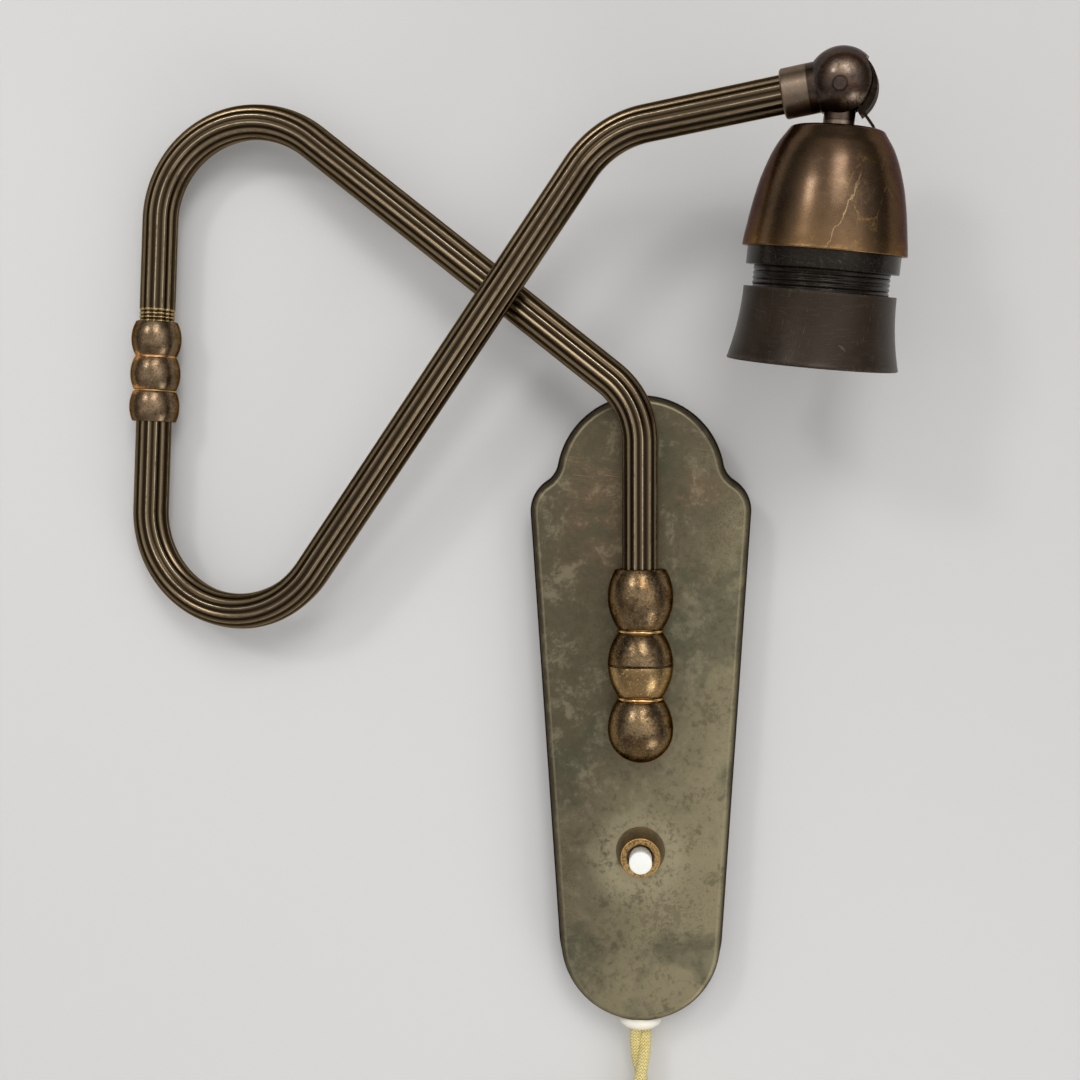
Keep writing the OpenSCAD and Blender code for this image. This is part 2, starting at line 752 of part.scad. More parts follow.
module tilt_pin() {
    half = sqrt(ball_r * ball_r - pin_drop * pin_drop) - 0.1;
    color("peru") place_pin() rotate([90, 0, 0]) cylinder(d = pin_d, h = 2 * half, center = true);
}

// Head

module head_neck() {
    color("rosybrown") place_head() difference() {
        union() {
            rotate([90, 0, 0]) cylinder(d = neck_d, h = neck_d, center = true);
            cylinder(d = neck_d, h = cap_top);
            cylinder(r = 4, h = cap_top + 6);
        }
        rotate([90, 0, 0]) cylinder(d = pin_d + 2 * run_gap, h = 20, center = true);
        translate([0, 0, 4]) cylinder(r = 2.4, h = 20);
    }
}

module slot_cover() {
    lean = cover_from + 90 + head_lean;
    low = tab_off - tab_t / 2;
    web_in = (neck_d / 2 + fix_gap - low * cos(lean)) / sin(lean);
    color("sienna") place_pin() rotate([90, 0, 0])
        linear_extrude(height = neck_d, center = true) {
            difference() {
                polygon(concat([[0, 0]], arc([0, 0], 20, cover_from - 2, cover_to, 6)));
                circle(r = cover_r - cover_t);
                difference() {
                    circle(r = 30);
                    circle(r = cover_r);
                }
            }
            rotate(cover_from) translate([web_in, low]) square([tab_r - web_in, tab_t]);
        }
}

module head_cap() {
    shoulder = [[cap_top_r, cap_top], [cap_top_r + 1.2, cap_top + 0.45], [cap_top_r + 2, cap_top + 1.5]];
    side = bow([cap_top_r + 2, cap_top + 1.5], [cap_rim_r - 3.2, cap_top + 8.6],
        [cap_rim_r, cap_rim], 14);
    fit_r = collar_r + 0.1;
    inner = [for (i = [0:14]) let (p = side[i]) if (p[0] - cap_t < fit_r && p[1] < cap_rim - 5)
        [p[0] - cap_t, p[1] + cap_t * (1 - i / 14)]];
    last = inner[len(inner) - 1];
    color("rosybrown") place_head() difference() {
        rotate_extrude() polygon(concat([[0, cap_top]], shoulder, tail(side), [[fit_r, cap_rim]],
            [[fit_r, last[1] + 1]], flip(inner), [[cap_top_r - 0.2, cap_top + cap_t],
            [0, cap_top + cap_t]]));
        translate([0, 0, cap_top - 1]) cylinder(r = 4 + fix_gap, h = 5);
    }
}

module cap_nut() {
    color("goldenrod") place_head() translate([0, 0, cap_top + cap_t]) difference() {
        cylinder(r = 7.5, h = 3.5, $fn = 6);
        translate([0, 0, -1]) cylinder(r = 4 + fix_gap, h = 6);
    }
}

module lampholder() {
    top = cap_rim - 4.6;
    web = contact_seat - 3;
    lip = socket_r + 0.85 - lip_w;
    color("dimgray") place_head() rotate_extrude() polygon([[lip, web - 3], [barrel_r - 1.5, web - 3],
        [barrel_r - 1.5, top], [collar_r, top], [collar_r, collar_low], [barrel_r, collar_low],
        [barrel_r, barrel_low], [socket_r + 0.85, barrel_low], [socket_r + 0.85, web], [lip, web]]);
}

module socket_base() {
    color("white") place_head() translate([0, 0, contact_seat - 3])
        ring(socket_r + 0.85 - fix_gap, 3 + fix_gap, 3);
}

module socket_shell() {
    color("gold") place_head() translate([0, 0, socket_top])
        ring(socket_r + 0.85 - fix_gap, socket_r, socket_l);
}

module centre_contact() {
    color("gold") place_head() translate([0, 0, contact_seat - 3]) cylinder(r = 3, h = 3 + contact_h);
}

module shade_ring() {
    n = 8;
    outer = [for (i = [0:n]) let (u = i / n)
        [ring_top_r + (ring_low_r - ring_top_r) * u * u, ring_top + (ring_h - 0.8) * u]];
    thread = barrel_r + 0.08;
    seat = ring_top + 0.5 * ring_h;
    color("sienna") place_head() rotate_extrude() polygon(concat(outer,
        [[ring_low_r + 0.2, ring_low - 0.5], [ring_low_r, ring_low],
        [ring_low_r - ring_t, ring_low], [thread, seat], [thread, ring_top]]));
}

// Cord

module cord_bush() {
    z0 = plate_low;
    neck = bush_r - 2;
    inner = neck + 1.2;
    in_z = low_c[1] - sqrt(pow(bottom_r - wall_in - sheet_t, 2) - inner * inner) + 0.1;
    hole = cord_d / 2 + 0.1;
    color("ivory") translate([0, -cord_out, 0]) rotate_extrude() polygon([[hole, z0 - bush_low],
        [hole + 1, z0 - bush_low], [bush_r - 1, z0 - 2], [bush_r, z0 - 1], [bush_r, z0 - 0.1],
        [neck, z0 - 0.1], [neck, in_z], [inner, in_z], [inner, in_z + 1], [hole, in_z + 1]]);
}

// A tube of n sides along points in the plane y = row[1]; each row is [x, y, z, heading]
// with the heading measured in the XZ plane from +X towards +Z
module cord_tube(rows, n) {
    m = len(rows);
    r = cord_d / 2;
    points = [for (w = rows) for (k = [0:n - 1]) let (a = 360 * (k + 0.5) / n)
        [w[0] - r * cos(a) * sin(w[3]), w[1] + r * sin(a), w[2] + r * cos(a) * cos(w[3])]];
    sides = [for (j = [0:m - 2]) for (k = [0:n - 1])
        let (a = j * n + k, b = j * n + (k + 1) % n, c = b + n, d = a + n)
        each [[a, b, c], [a, c, d]]];
    polyhedron(points, concat(sides, [[for (k = [n - 1:-1:0]) k]],
        [[for (k = [0:n - 1]) (m - 1) * n + k]]));
}

drop_z = -drop_straight;
drop_rows = concat(
    [for (i = [0:2]) [0, -cord_out, plate_low + 3.4 + i * (drop_z - plate_low - 3.4) / 2, 270]],
    [for (i = [1:7]) let (b = drop_turn * i / 7)
        [drop_bend * (cos(b) - 1), -cord_out, drop_z - drop_bend * sin(b), 270 - b]]);
coil_from = let (w = drop_rows[len(drop_rows) - 1]) [w[0], w[2]];
start_dir = [cos(270 - drop_turn), sin(270 - drop_turn)];
coil_c = coil_from + cord_d * start_dir - coil_r * [cos(coil_start), sin(coil_start)];
// The spiral goes in for half of the turns, climbs a layer and comes out again
function coil_radius(t) = coil_r - loop_pitch * min(t, turns - t);
function coil_layer(t) = let (k = (t - turns / 2 + 0.25) * 2)
    layer_1 + (layer_2 - layer_1) * max(0, min(1, k));
coil_n = round(turns * coil_steps);
coil_mid = [for (i = [0:coil_n]) let (t = turns * i / coil_n, a = coil_start + 360 * t)
    [coil_c[0] + coil_radius(t) * cos(a), coil_layer(t), coil_c[1] + coil_radius(t) * sin(a),
        a + 90 + (t < turns / 2 ? drift : -drift)]];
coil_last = coil_mid[coil_n];
tail_dir = [cos(coil_last[3]), sin(coil_last[3])];
coil_to = [coil_last[0], coil_last[2]] + cord_d * tail_dir;
coil_rows = concat([[coil_from[0], layer_1, coil_from[1], 270 - drop_turn]], coil_mid,
    [[coil_to[0], layer_2, coil_to[1], coil_last[3]]]);
tail_to = coil_to + tail_l / 2 * tail_dir + [0, -tail_l / 2];
tail_mid = bow(coil_to, coil_to + tail_l / 2 * tail_dir, tail_to, 4);
tail_rows = [for (i = [0:4]) [tail_mid[i][0], layer_2, tail_mid[i][1],
    coil_last[3] + (270 + 360 * round((coil_last[3] - 270) / 360) - coil_last[3]) * i / 4]];

coil_gap = min([for (i = [0:len(coil_mid) - 1]) for (j = [i + 12:1:len(coil_mid) - 1])
    norm([for (k = [0:2]) coil_mid[i][k] - coil_mid[j][k]])]) - cord_d;
echo(least_gap_of_the_coil_to_itself = coil_gap);
echo(length_of_cord = norm([coil_to[0] - tail_to[0], coil_to[1] - tail_to[1]])
    + plate_low - drop_z + drop_bend * drop_turn * PI / 180 + 2 * cord_d
    + total([for (i = [1:coil_n]) norm([for (k = [0:2]) coil_mid[i][k] - coil_mid[i - 1][k]])]));

module cord_drop() {
    color("gold") cord_tube(drop_rows, 12);
}

module cord_coil() {
    color("gold") cord_tube(coil_rows, 6);
}

module cord_tail() {
    color("gold") cord_tube(tail_rows, 12);
}

module coil_tie() {
    r = cord_d / 2 + 0.4;
    inner = coil_r - loop_pitch * turns / 2 - r - 0.1;
    outer = coil_r + r - 3;
    t = 0.8;
    color("black") translate([coil_c[0] - 4, 0, coil_c[1] - outer]) difference() {
        translate([0, layer_2 - r - t, -t]) cube([8, layer_1 - layer_2 + 2 * r + 2 * t, outer - inner + 2 * t]);
        translate([-1, layer_2 - r, 0]) cube([10, layer_1 - layer_2 + 2 * r, outer - inner]);
    }
}

module plug_body() {
    w = plug_w / 2;
    color("gold") translate([tail_to[0], layer_2, tail_to[1]]) rotate([90, 0, 0]) difference() {
        linear_extrude(height = plug_t, center = true)
            polygon(concat([[-5.5, 0], [-6, -4]], arc([-w + 4, -plug_l + 12], 4, 150, 180, 3),
                [[-w, -plug_l], [w, -plug_l]], arc([w - 4, -plug_l + 12], 4, 0, 30, 3),
                [[6, -4], [5.5, 0]]));
        for (s = [-1, 1])
            translate([s * pin_pitch / 2, -plug_l - 1, 0]) rotate([-90, 0, 0])
                cylinder(d = pin_root_d + 2 * fix_gap, h = 9);
    }
}

module plug_pins() {
    color("silver") for (s = [-1, 1])
        translate([tail_to[0] + s * pin_pitch / 2, layer_2, tail_to[1] - plug_l - plug_pin_l]) {
            cylinder(d = plug_pin_d, h = plug_pin_l);
            cylinder(d = pin_root_d, h = plug_pin_l + 8);
        }
}

mounting_bar();
cover_plate();
side_screws();
knuckle_base();
base_plug();
stem();
stem_collar();
stem_washer();
stem_nut();
lower_swing_washer();
switch_body();
switch_nut();
push_button();
terminal_block();
terminal_screws();
cord_bush();
cord_drop();
cord_coil();
cord_tail();
coil_tie();
plug_body();
plug_pins();
knuckle_turret();
lower_arm_tube();
lower_spindle_nut();
elbow_upper();
upper_swing_washer();
elbow_lower();
upper_spindle_clip();
upper_arm_tube();
swivel_nipple();
nipple_clip();
ball_joint();
tilt_pin();
head_neck();
slot_cover();
head_cap();
cap_nut();
lampholder();
socket_base();
socket_shell();
centre_contact();
shade_ring();
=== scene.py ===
from math import acos, atan, atan2, ceil, copysign, cos, degrees, exp, pi, radians, sin, sqrt, tan

import bmesh
import bpy
from mathutils import Matrix, Vector


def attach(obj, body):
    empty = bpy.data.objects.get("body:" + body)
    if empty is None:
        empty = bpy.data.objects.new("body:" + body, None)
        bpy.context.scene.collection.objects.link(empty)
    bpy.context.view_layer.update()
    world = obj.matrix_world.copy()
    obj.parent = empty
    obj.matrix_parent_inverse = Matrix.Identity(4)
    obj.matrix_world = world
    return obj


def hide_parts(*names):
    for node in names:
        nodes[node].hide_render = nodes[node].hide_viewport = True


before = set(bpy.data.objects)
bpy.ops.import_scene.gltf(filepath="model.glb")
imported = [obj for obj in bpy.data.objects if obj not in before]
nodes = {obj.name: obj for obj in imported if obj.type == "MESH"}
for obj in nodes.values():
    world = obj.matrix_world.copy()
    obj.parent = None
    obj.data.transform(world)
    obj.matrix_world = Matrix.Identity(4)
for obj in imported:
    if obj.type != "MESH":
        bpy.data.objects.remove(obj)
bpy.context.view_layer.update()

print("frame loaded")


# places, in millimetres, as the frame has them
def turn(axis, angle):
    return Matrix.Rotation(radians(angle), 4, axis)


def shift(x, y, z):
    return Matrix.Translation((x, y, z))


arms = {
    "axisOut": 27.0,          # wall to the swing axis
    "lowerTurn": 173.55,      # direction of the lower arm
    "elbow": (159.45, 108.0),   # reach and height of the upper knuckle
    "elbowLean": 2.71,
    "topLift": 112.5,         # lower arm's last corner above the upper knuckle
    "lowerCorners": ((0, 38), (0, 96.9)),
    "lowerBends": (26.0, 32.0),
    "upperTurn": -186.03,     # upper arm against the lower one
    "upperCorners": ((0, -9.55), (0, -150.7)),
    "upperBends": (31.7, 30.0),
    "farCorner": (147.75, 75.94),
    "endSlope": 10.6,
    "endLength": 70.6,
    "sleeveReach": 17.0,      # sleeve's end to the ball's middle
    "tubeIn": 2.5,            # tube's end inside the sleeve
    "ballTurn": 6.3,
    "pinDrop": 1.6,
    "headLean": 14.7,
}
endDir = Vector((cos(radians(arms["endSlope"])), sin(radians(arms["endSlope"]))))
farCorner = Vector(arms["farCorner"])
ballAt = farCorner + arms["endLength"] * endDir
basePlace = shift(0, -arms["axisOut"], 0)
lowerPlace = basePlace @ turn("Z", arms["lowerTurn"])
elbowPlace = lowerPlace @ shift(arms["elbow"][0], 0, arms["elbow"][1]) @ turn("Y", -arms["elbowLean"])
upperPlace = elbowPlace @ turn("Z", arms["upperTurn"])
ballPlace = upperPlace @ shift(ballAt.x, 0, ballAt.y) @ turn("Y", -arms["endSlope"]) @ turn("X", arms["ballTurn"])
pinPlace = ballPlace @ shift(0, 0, -arms["pinDrop"])
headPlace = pinPlace @ turn("Y", arms["headLean"]) @ turn("X", 180)


# node trees
class Wire:
    # one output socket; sums and products of wires add their Math nodes
    def __init__(self, bench, socket):
        self.bench, self.socket = bench, socket

    def math(self, operation, *inputs):
        return self.bench.node("ShaderNodeMath", {"operation": operation}, dict(enumerate(inputs)))

    def __add__(self, other): return self.math("ADD", self, other)
    def __radd__(self, other): return self.math("ADD", other, self)
    def __sub__(self, other): return self.math("SUBTRACT", self, other)
    def __rsub__(self, other): return self.math("SUBTRACT", other, self)
    def __mul__(self, other): return self.math("MULTIPLY", self, other)
    def __rmul__(self, other): return self.math("MULTIPLY", other, self)
    def __truediv__(self, other): return self.math("DIVIDE", self, other)
    def __rtruediv__(self, other): return self.math("DIVIDE", other, self)
    def __pow__(self, other): return self.math("POWER", self, other)
    def __mod__(self, other): return self.math("FLOORED_MODULO", self, other)
    def __gt__(self, other): return self.math("GREATER_THAN", self, other)
    def __lt__(self, other): return self.math("LESS_THAN", self, other)

    def least(self, other): return self.math("MINIMUM", self, other)
    def most(self, other): return self.math("MAXIMUM", self, other)
    def sine(self): return self.math("SINE", self)
    def cosine(self): return self.math("COSINE", self)
    def root(self): return self.math("SQRT", self)
    def size(self): return self.math("ABSOLUTE", self)


class Bench:
    def __init__(self, tree):
        self.tree = tree

    def node(self, kind, settings=None, values=None, output=0):
        made = self.tree.nodes.new(kind)
        for key, value in (settings or {}).items():
            setattr(made, key, value)
        for key, value in (values or {}).items():
            if isinstance(value, Wire):
                self.tree.links.new(value.socket, made.inputs[key])
            else:
                made.inputs[key].default_value = value
        return Wire(self, made.outputs[output]) if len(made.outputs) else made

    def vector(self, operation, values, output=0):
        return self.node("ShaderNodeVectorMath", {"operation": operation}, values, output)

    def split(self, vector, axis):
        return self.node("ShaderNodeSeparateXYZ", {}, {0: vector}, "XYZ".index(axis))

    def step(self, value, low, high, bottom=0.0, top=1.0):
        # a smooth rise from bottom to top as the value goes from low to high
        return self.node("ShaderNodeMapRange", {"interpolation_type": "SMOOTHSTEP"}, {
            "Value": value, "From Min": low, "From Max": high, "To Min": bottom, "To Max": top})


def shade(red, green, blue):
    # a colour as a screen shows it, turned linear
    def channel(c):
        c /= 255
        return c / 12.92 if c <= 0.04045 else ((c + 0.055) / 1.055) ** 2.4
    return (channel(red), channel(green), channel(blue), 1.0)


def shades(look):
    # the three-number values of a look are screen colours
    return {key: shade(*value) if isinstance(value, tuple) and len(value) == 3 else value for key, value in look.items()}


class Finish(Bench):
    # a material being made: tones are laid over its colour one by one, and its lengths are in millimetres
    def __init__(self, name, colour):
        self.material = bpy.data.materials.new(name)
        self.material.use_nodes = True
        Bench.__init__(self, self.material.node_tree)
        self.tree.nodes.clear()
        self.colour = colour
        self.place = self.vector("SCALE", {0: self.node("ShaderNodeTexCoord", output="Object"), "Scale": 1000.0})

    def lay(self, tone, mask, amount=1.0):
        factor = mask if amount == 1.0 else mask * amount
        self.colour = self.node("ShaderNodeMix", {"data_type": "RGBA"}, {0: factor, 6: self.colour, 7: tone}, 2)

    def stretched(self, scale, about=(0, 0, 0), place=None):
        return self.node("ShaderNodeMapping", {}, {"Vector": place or self.place, "Scale": scale, "Rotation": about})

    def clouds(self, size, detail=4.0, rough=0.55, bend=0.0, at=None, seed=0.0):
        return self.node("ShaderNodeTexNoise", {"noise_dimensions": "4D"}, {
            "Vector": at or self.place, "W": seed, "Scale": 1.0 / size, "Detail": detail,
            "Roughness": rough, "Distortion": bend})

    def seams(self, size, at, wide, thin):
        # fine lines between cells
        edges = self.node("ShaderNodeTexVoronoi", {"feature": "DISTANCE_TO_EDGE"}, {"Vector": at, "Scale": 1.0 / size})
        return self.step(edges, wide, thin)

    def spread(self, value, low, high):
        return self.node("ShaderNodeMapRange", {}, {"Value": value, "To Min": low, "To Max": high})

    def mark(self, name):
        return self.node("ShaderNodeAttribute", {"attribute_name": name}, output=2)

    def strokes(self, length, width, seed, cut=0.62, about=None):
        # thin scratches that run across the piece, most of it bare
        laid = self.stretched((1.0, 1.0, 1.0), about or (0.3 + seed, 0.9 * seed, 1.7 * seed))
        long = self.stretched((1 / width, 1 / length, 1 / length), place=laid)
        return self.step(self.clouds(1.0, 1.0, 0.4, at=long, seed=seed), cut, cut + 0.07)

    def offset(self, point):
        return self.vector("SUBTRACT", {0: self.place, 1: tuple(point)})

    def away(self, point, stretch=(1, 1, 1)):
        # distance from a point; stretch makes it an ellipsoid
        return self.vector("LENGTH", {0: self.vector("MULTIPLY", {0: self.offset(point), 1: stretch})}, 1)

    def near(self, point, full, gone, stretch=(1, 1, 1)):
        # 1 at the point, 0 from the far radius on
        return self.step(self.away(point, stretch), gone, full)

    def beside(self, point, axis):
        # distance from a line through the point
        return self.vector("LENGTH", {0: self.vector("CROSS_PRODUCT", {0: self.offset(point), 1: tuple(axis)})}, 1)

    def depth(self, point, axis):
        # how far along the axis from the point
        return self.vector("DOT_PRODUCT", {0: self.offset(point), 1: tuple(axis)}, 1)

    def bump(self, height, strength, depth):
        return self.node("ShaderNodeBump", {}, {"Height": height, "Strength": strength, "Distance": depth * 0.001})

    def done(self, rough, metal, normal=None, **fixed):
        values = {"Base Color": self.colour, "Roughness": rough, "Metallic": metal}
        if normal:
            values["Normal"] = normal
        values.update({key.replace("_", " "): value for key, value in fixed.items()})
        self.node("ShaderNodeOutputMaterial", {}, {"Surface": self.node("ShaderNodeBsdfPrincipled", {}, values)})
        return self.material


# meshes
def newObject(name, data):
    made = bpy.data.objects.new(name, data)
    bpy.context.scene.collection.objects.link(made)
    return made


def newPiece(name, vertices, faces, material, place=Matrix.Identity(4), marks=(), braid=()):
    # marks are numbers for each point, braid is the UV place of each corner
    mesh = bpy.data.meshes.new(name)
    mesh.from_pydata([tuple(place @ Vector(v) * 0.001) for v in vertices], [], faces)
    mesh.validate()
    mesh.shade_smooth()
    mesh.materials.append(material)
    if braid:
        mesh.uv_layers.new(name="braid").data.foreach_set("uv", [c for uv in braid for c in uv])
    outward(mesh)
    for mark, values in marks:
        mesh.attributes.new(mark, "FLOAT", "POINT").data.foreach_set("value", values)
    return newObject(name, mesh)


def outward(mesh):
    work = bmesh.new()
    work.from_mesh(mesh)
    bmesh.ops.recalc_face_normals(work, faces=work.faces)
    work.to_mesh(mesh)
    work.free()


def putOn(piece, body, slot, *replaced):
    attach(piece, body)
    if replaced:
        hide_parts(*replaced)
    return piece


def bandFaces(pairs, sides, first=0):
    # quads between pairs of rings of points
    return [(first + i * sides + k, first + i * sides + (k + 1) % sides,
             first + j * sides + (k + 1) % sides, first + j * sides + k)
            for i, j in pairs for k in range(sides)]


def capFaces(rings, sides, first=0):
    # closes the first and the last ring
    last = first + (rings - 1) * sides
    return [tuple(first + k for k in reversed(range(sides))), tuple(last + k for k in range(sides))]


def bent(a, b, c, u):
    # a point on the curve from a to c that b pulls
    return (1 - u) ** 2 * a + 2 * u * (1 - u) * b + u * u * c


def softened(profile, radius, sharpest=24.0):
    # every corner of the profile gets a small round
    made = []
    for i, point in enumerate(profile):
        here = Vector(point[:2])
        a, b = Vector(profile[i - 1][:2]) - here, Vector(profile[(i + 1) % len(profile)][:2]) - here
        if min(a.length, b.length, here.x) < 1e-6 or 180 - degrees(a.angle(b)) < sharpest:
            made.append(point)
            continue
        reach = min(radius, 0.4 * a.length, 0.4 * b.length)
        start, end = here + a.normalized() * reach, here + b.normalized() * reach
        made += [(*bent(start, here, end, k / 4), point[2]) for k in range(5)]
    return made


def turned(name, rows, place, material, closed=False, segments=128, corner=0.25, shapeIt=None, wearIt=None):
    # a turned piece: its rows are (radius, height, wear)
    if corner:
        rows = softened(rows, corner)
    vertices, wear, starts, faces = [], [], [], []
    for radius, height, worn in rows:
        starts.append(len(vertices))
        if radius < 1e-6:
            vertices.append((0, 0, height))
            wear.append(worn)
            continue
        for k in range(segments):
            a = 2 * pi * k / segments
            r, h = shapeIt(radius, height, a) if shapeIt else (radius, height)
            vertices.append((r * cos(a), r * sin(a), h))
            wear.append(max(worn, wearIt(radius, height, a)) if wearIt else worn)
    for i in range(len(rows) if closed else len(rows) - 1):
        j = (i + 1) % len(rows)
        thin, thinNext = rows[i][0] < 1e-6, rows[j][0] < 1e-6
        for k in range(0 if thin and thinNext else segments):
            m = (k + 1) % segments
            ring = (starts[i],) if thin else (starts[i] + k, starts[i] + m)
            nextRing = (starts[j],) if thinNext else (starts[j] + m, starts[j] + k)
            faces.append(ring + nextRing)
    return newPiece(name, vertices, faces, material, place, [("wear", wear)])


def beadRows(middle, widest, low, high, curve, count=16, wear=0.0):
    heights = [low + (high - low) * i / count for i in range(count + 1)]
    return [(widest - curve + sqrt(curve * curve - (z - middle) ** 2), z, wear) for z in heights]


def arcPoints(centre, radius, start, end, count):
    turns = [radians(start + (end - start) * i / count) for i in range(count + 1)]
    return [(centre[0] + radius * cos(a), centre[1] + radius * sin(a)) for a in turns]


def ovalRows(middle, level, wide, tall, angles, wear=0.0):
    return [(middle + wide * cos(radians(a)), level + tall * sin(radians(a)), wear) for a in angles]


# camera
camera = {
    "at": (-0.00016, -0.5124, 0.07293),
    "right": (0.99795, 0.06392, -0.00247),
    "forward": (-0.06397, 0.99722, -0.03828),
    "lens": 52.0,
}
eye = bpy.data.cameras.new("eye")
eye.lens, eye.sensor_width, eye.clip_start, eye.clip_end = camera["lens"], 36.0, 0.02, 20.0
eyeHolder = newObject("eye", eye)
right, back = Vector(camera["right"]).normalized(), -Vector(camera["forward"]).normalized()
turning = Matrix((right, back.cross(right).normalized(), back)).transposed().to_4x4()
eyeHolder.matrix_world = Matrix.Translation(camera["at"]) @ turning
bpy.context.scene.camera = eyeHolder
print("camera set")

# cord
cordLook = {
    "diameter": 7.0,      # round both strands
    "strand": 1.9,        # radius of one strand
    "twist": -46.0,       # length of one full twist, left handed
    "startTwist": 81.4,   # where the strands stand at the exit
    "start": -99.5,       # height of the exit
    "out": 7.5,           # cord to wall
    "dropEnd": -126.0,    # height where the bend into the coil begins
    "bend": 30.0,         # its radius, and the plug's end
    "lead": 7.0,          # straight run between the bend and the coil
    "sides": 12,
    "spacing": 1.1,       # between rings of a strand
    "weave": 1.05,        # length of one stitch of the braid
    "pale": (255, 250, 176), "deep": (216, 162, 58), "speck": (255, 248, 206), "dirt": (206, 156, 58),
}
coil = {"radius": 52.8, "pitch": 7.6, "loops": 6, "start": 120.0, "end": 180.0, "steps": 60}
coilTurns = coil["loops"] + (coil["end"] - coil["start"]) / 360
driftAngle = degrees(atan(coil["pitch"] / (2 * pi) / coil["radius"]))
dropTurn = 180 - coil["start"] - driftAngle


def inWallPlane(radius, angle):
    return radius * Vector((cos(radians(angle)), 0, sin(radians(angle))))


def cordRoute():
    out, start, drop, bend, lead = (cordLook[key] for key in ("out", "start", "dropEnd", "bend", "lead"))
    route = [Vector((0, -out, start + (drop - start) * i / 12)) for i in range(13)]
    route += [Vector((-bend, -out, drop)) + inWallPlane(bend, -dropTurn * i / 15) for i in range(1, 16)]
    heading = inWallPlane(1, 270 - dropTurn)
    centre = route[-1] + lead * heading - inWallPlane(coil["radius"], coil["start"])
    route.append(route[-1] + lead / 2 * heading)
    count = round(coilTurns * coil["steps"])
    for i in range(count + 1):
        t = coilTurns * i / count
        spot = centre + inWallPlane(coil["radius"] - coil["pitch"] * min(t, coilTurns - t), coil["start"] + 360 * t)
        climb = max(0.0, min(1.0, (t - coilTurns / 2 + 0.25) * 2))
        spot.y = -out - coil["pitch"] * climb * climb * (3 - 2 * climb)
        route.append(spot)
    away = inWallPlane(1, coil["start"] + 360 * coilTurns + 90 - driftAngle)
    first = route[-1] + lead * away
    pull = first + bend * away
    route += [bent(first, pull, pull + Vector((0, 0, -bend)), i / 12) for i in range(13)]
    return route, centre


def evenly(route, spacing):
    lengths = [0.0]
    for a, b in zip(route, route[1:]):
        lengths.append(lengths[-1] + (b - a).length)
    count = round(lengths[-1] / spacing)
    made, j = [], 0
    for i in range(count + 1):
        s = lengths[-1] * i / count
        while j < len(lengths) - 2 and lengths[j + 1] < s:
            j += 1
        u = (s - lengths[j]) / (lengths[j + 1] - lengths[j])
        made.append((route[j].lerp(route[j + 1], min(1, max(0, u))), s))
    return made, lengths[-1]


cordPath, coilCentre = cordRoute()
cordRings, cordLength = evenly(cordPath, cordLook["spacing"])
print("cord length", round(cordLength, 1))


def cordFinish():
    look = shades(cordLook)
    f = Finish("goldBraid", look["deep"])
    uv = f.node("ShaderNodeUVMap", {"uv_map": "braid"})
    # yarns lie in chevrons along the strand
    lean = (f.split(uv, "X") % 1.0 - 0.5).size()
    stitch = ((f.split(uv, "Y") + lean * 1.3) * (2 * pi)).sine()
    seam = f.step(lean, 0.40, 0.5).most(f.step(lean, 0.10, 0.0))
    fibre = f.clouds(0.35, 3.0, 0.6)
    # painted highlight on each stitch's crest; the deep tone left between stitches and along the seams is painted shade
    f.lay(look["pale"], f.step(stitch - seam * 0.9, -1.2, 0.2))
    # painted glints: pale specks scattered over the braid
    f.lay(look["speck"], f.step(f.clouds(0.9, 3.0, 0.7, seed=3.0), 0.52, 0.68), 0.7)
    f.lay(look["dirt"], f.step(f.clouds(6.0, 3.0, 0.6, seed=8.0), 0.55, 0.8), 0.4)
    normal = f.bump(stitch * 0.4 + fibre * 0.3 - seam * 0.5, 0.9, 0.3)
    return f.done(0.55, 0.0, normal, Sheen_Weight=0.1, Sheen_Roughness=0.4)


def framed(points):
    # each point of a path with its side and its outward direction
    for i, point in enumerate(points):
        ahead = (points[min(len(points) - 1, i + 1)] - points[max(0, i - 1)]).normalized()
        side = ahead.cross(Vector((0, 1, 0))).normalized()
        yield point, side, side.cross(ahead)


def cordStrands():
    vertices, faces, uvs = [], [], []
    sides, radius, weave = cordLook["sides"], cordLook["strand"], cordLook["weave"]
    offset, stitches = cordLook["diameter"] / 2 - radius, round(2 * pi * radius / weave)
    rings, lengths = zip(*cordRings)
    for strand in (0, 1):
        centres, first = [], len(vertices)
        for (point, side, out), s in zip(framed(rings), lengths):
            a = radians(cordLook["startTwist"] + 180 * strand) + 2 * pi * s / cordLook["twist"]
            centres.append(point + offset * (cos(a) * side + sin(a) * out))
        for point, side, out in framed(centres):
            for k in range(sides):
                b = 2 * pi * k / sides
                vertices.append(point + radius * (cos(b) * side + sin(b) * out))
        faces += bandFaces([(i, i + 1) for i in range(len(centres) - 1)], sides, first)
        for low, high in zip(lengths, lengths[1:]):
            for k in range(sides):
                u0, u1 = k / sides * stitches, (k + 1) / sides * stitches
                uvs += [(u0, low / weave), (u1, low / weave), (u1, high / weave), (u0, high / weave)]
        faces += capFaces(len(centres), sides, first)
        uvs += [(0, 0)] * (2 * sides)
    return newPiece("cord", vertices, faces, cordFinish(), braid=uvs)


cord = putOn(cordStrands(), "wall_base", "gold_textile", "cord_drop", "cord_coil", "cord_tail")
print("cord made")

# metal finishes
pinSpot, pinAxis, ballSpot = pinPlace.translation, pinPlace.to_3x3() @ Vector((0, -1, 0)), ballPlace.translation


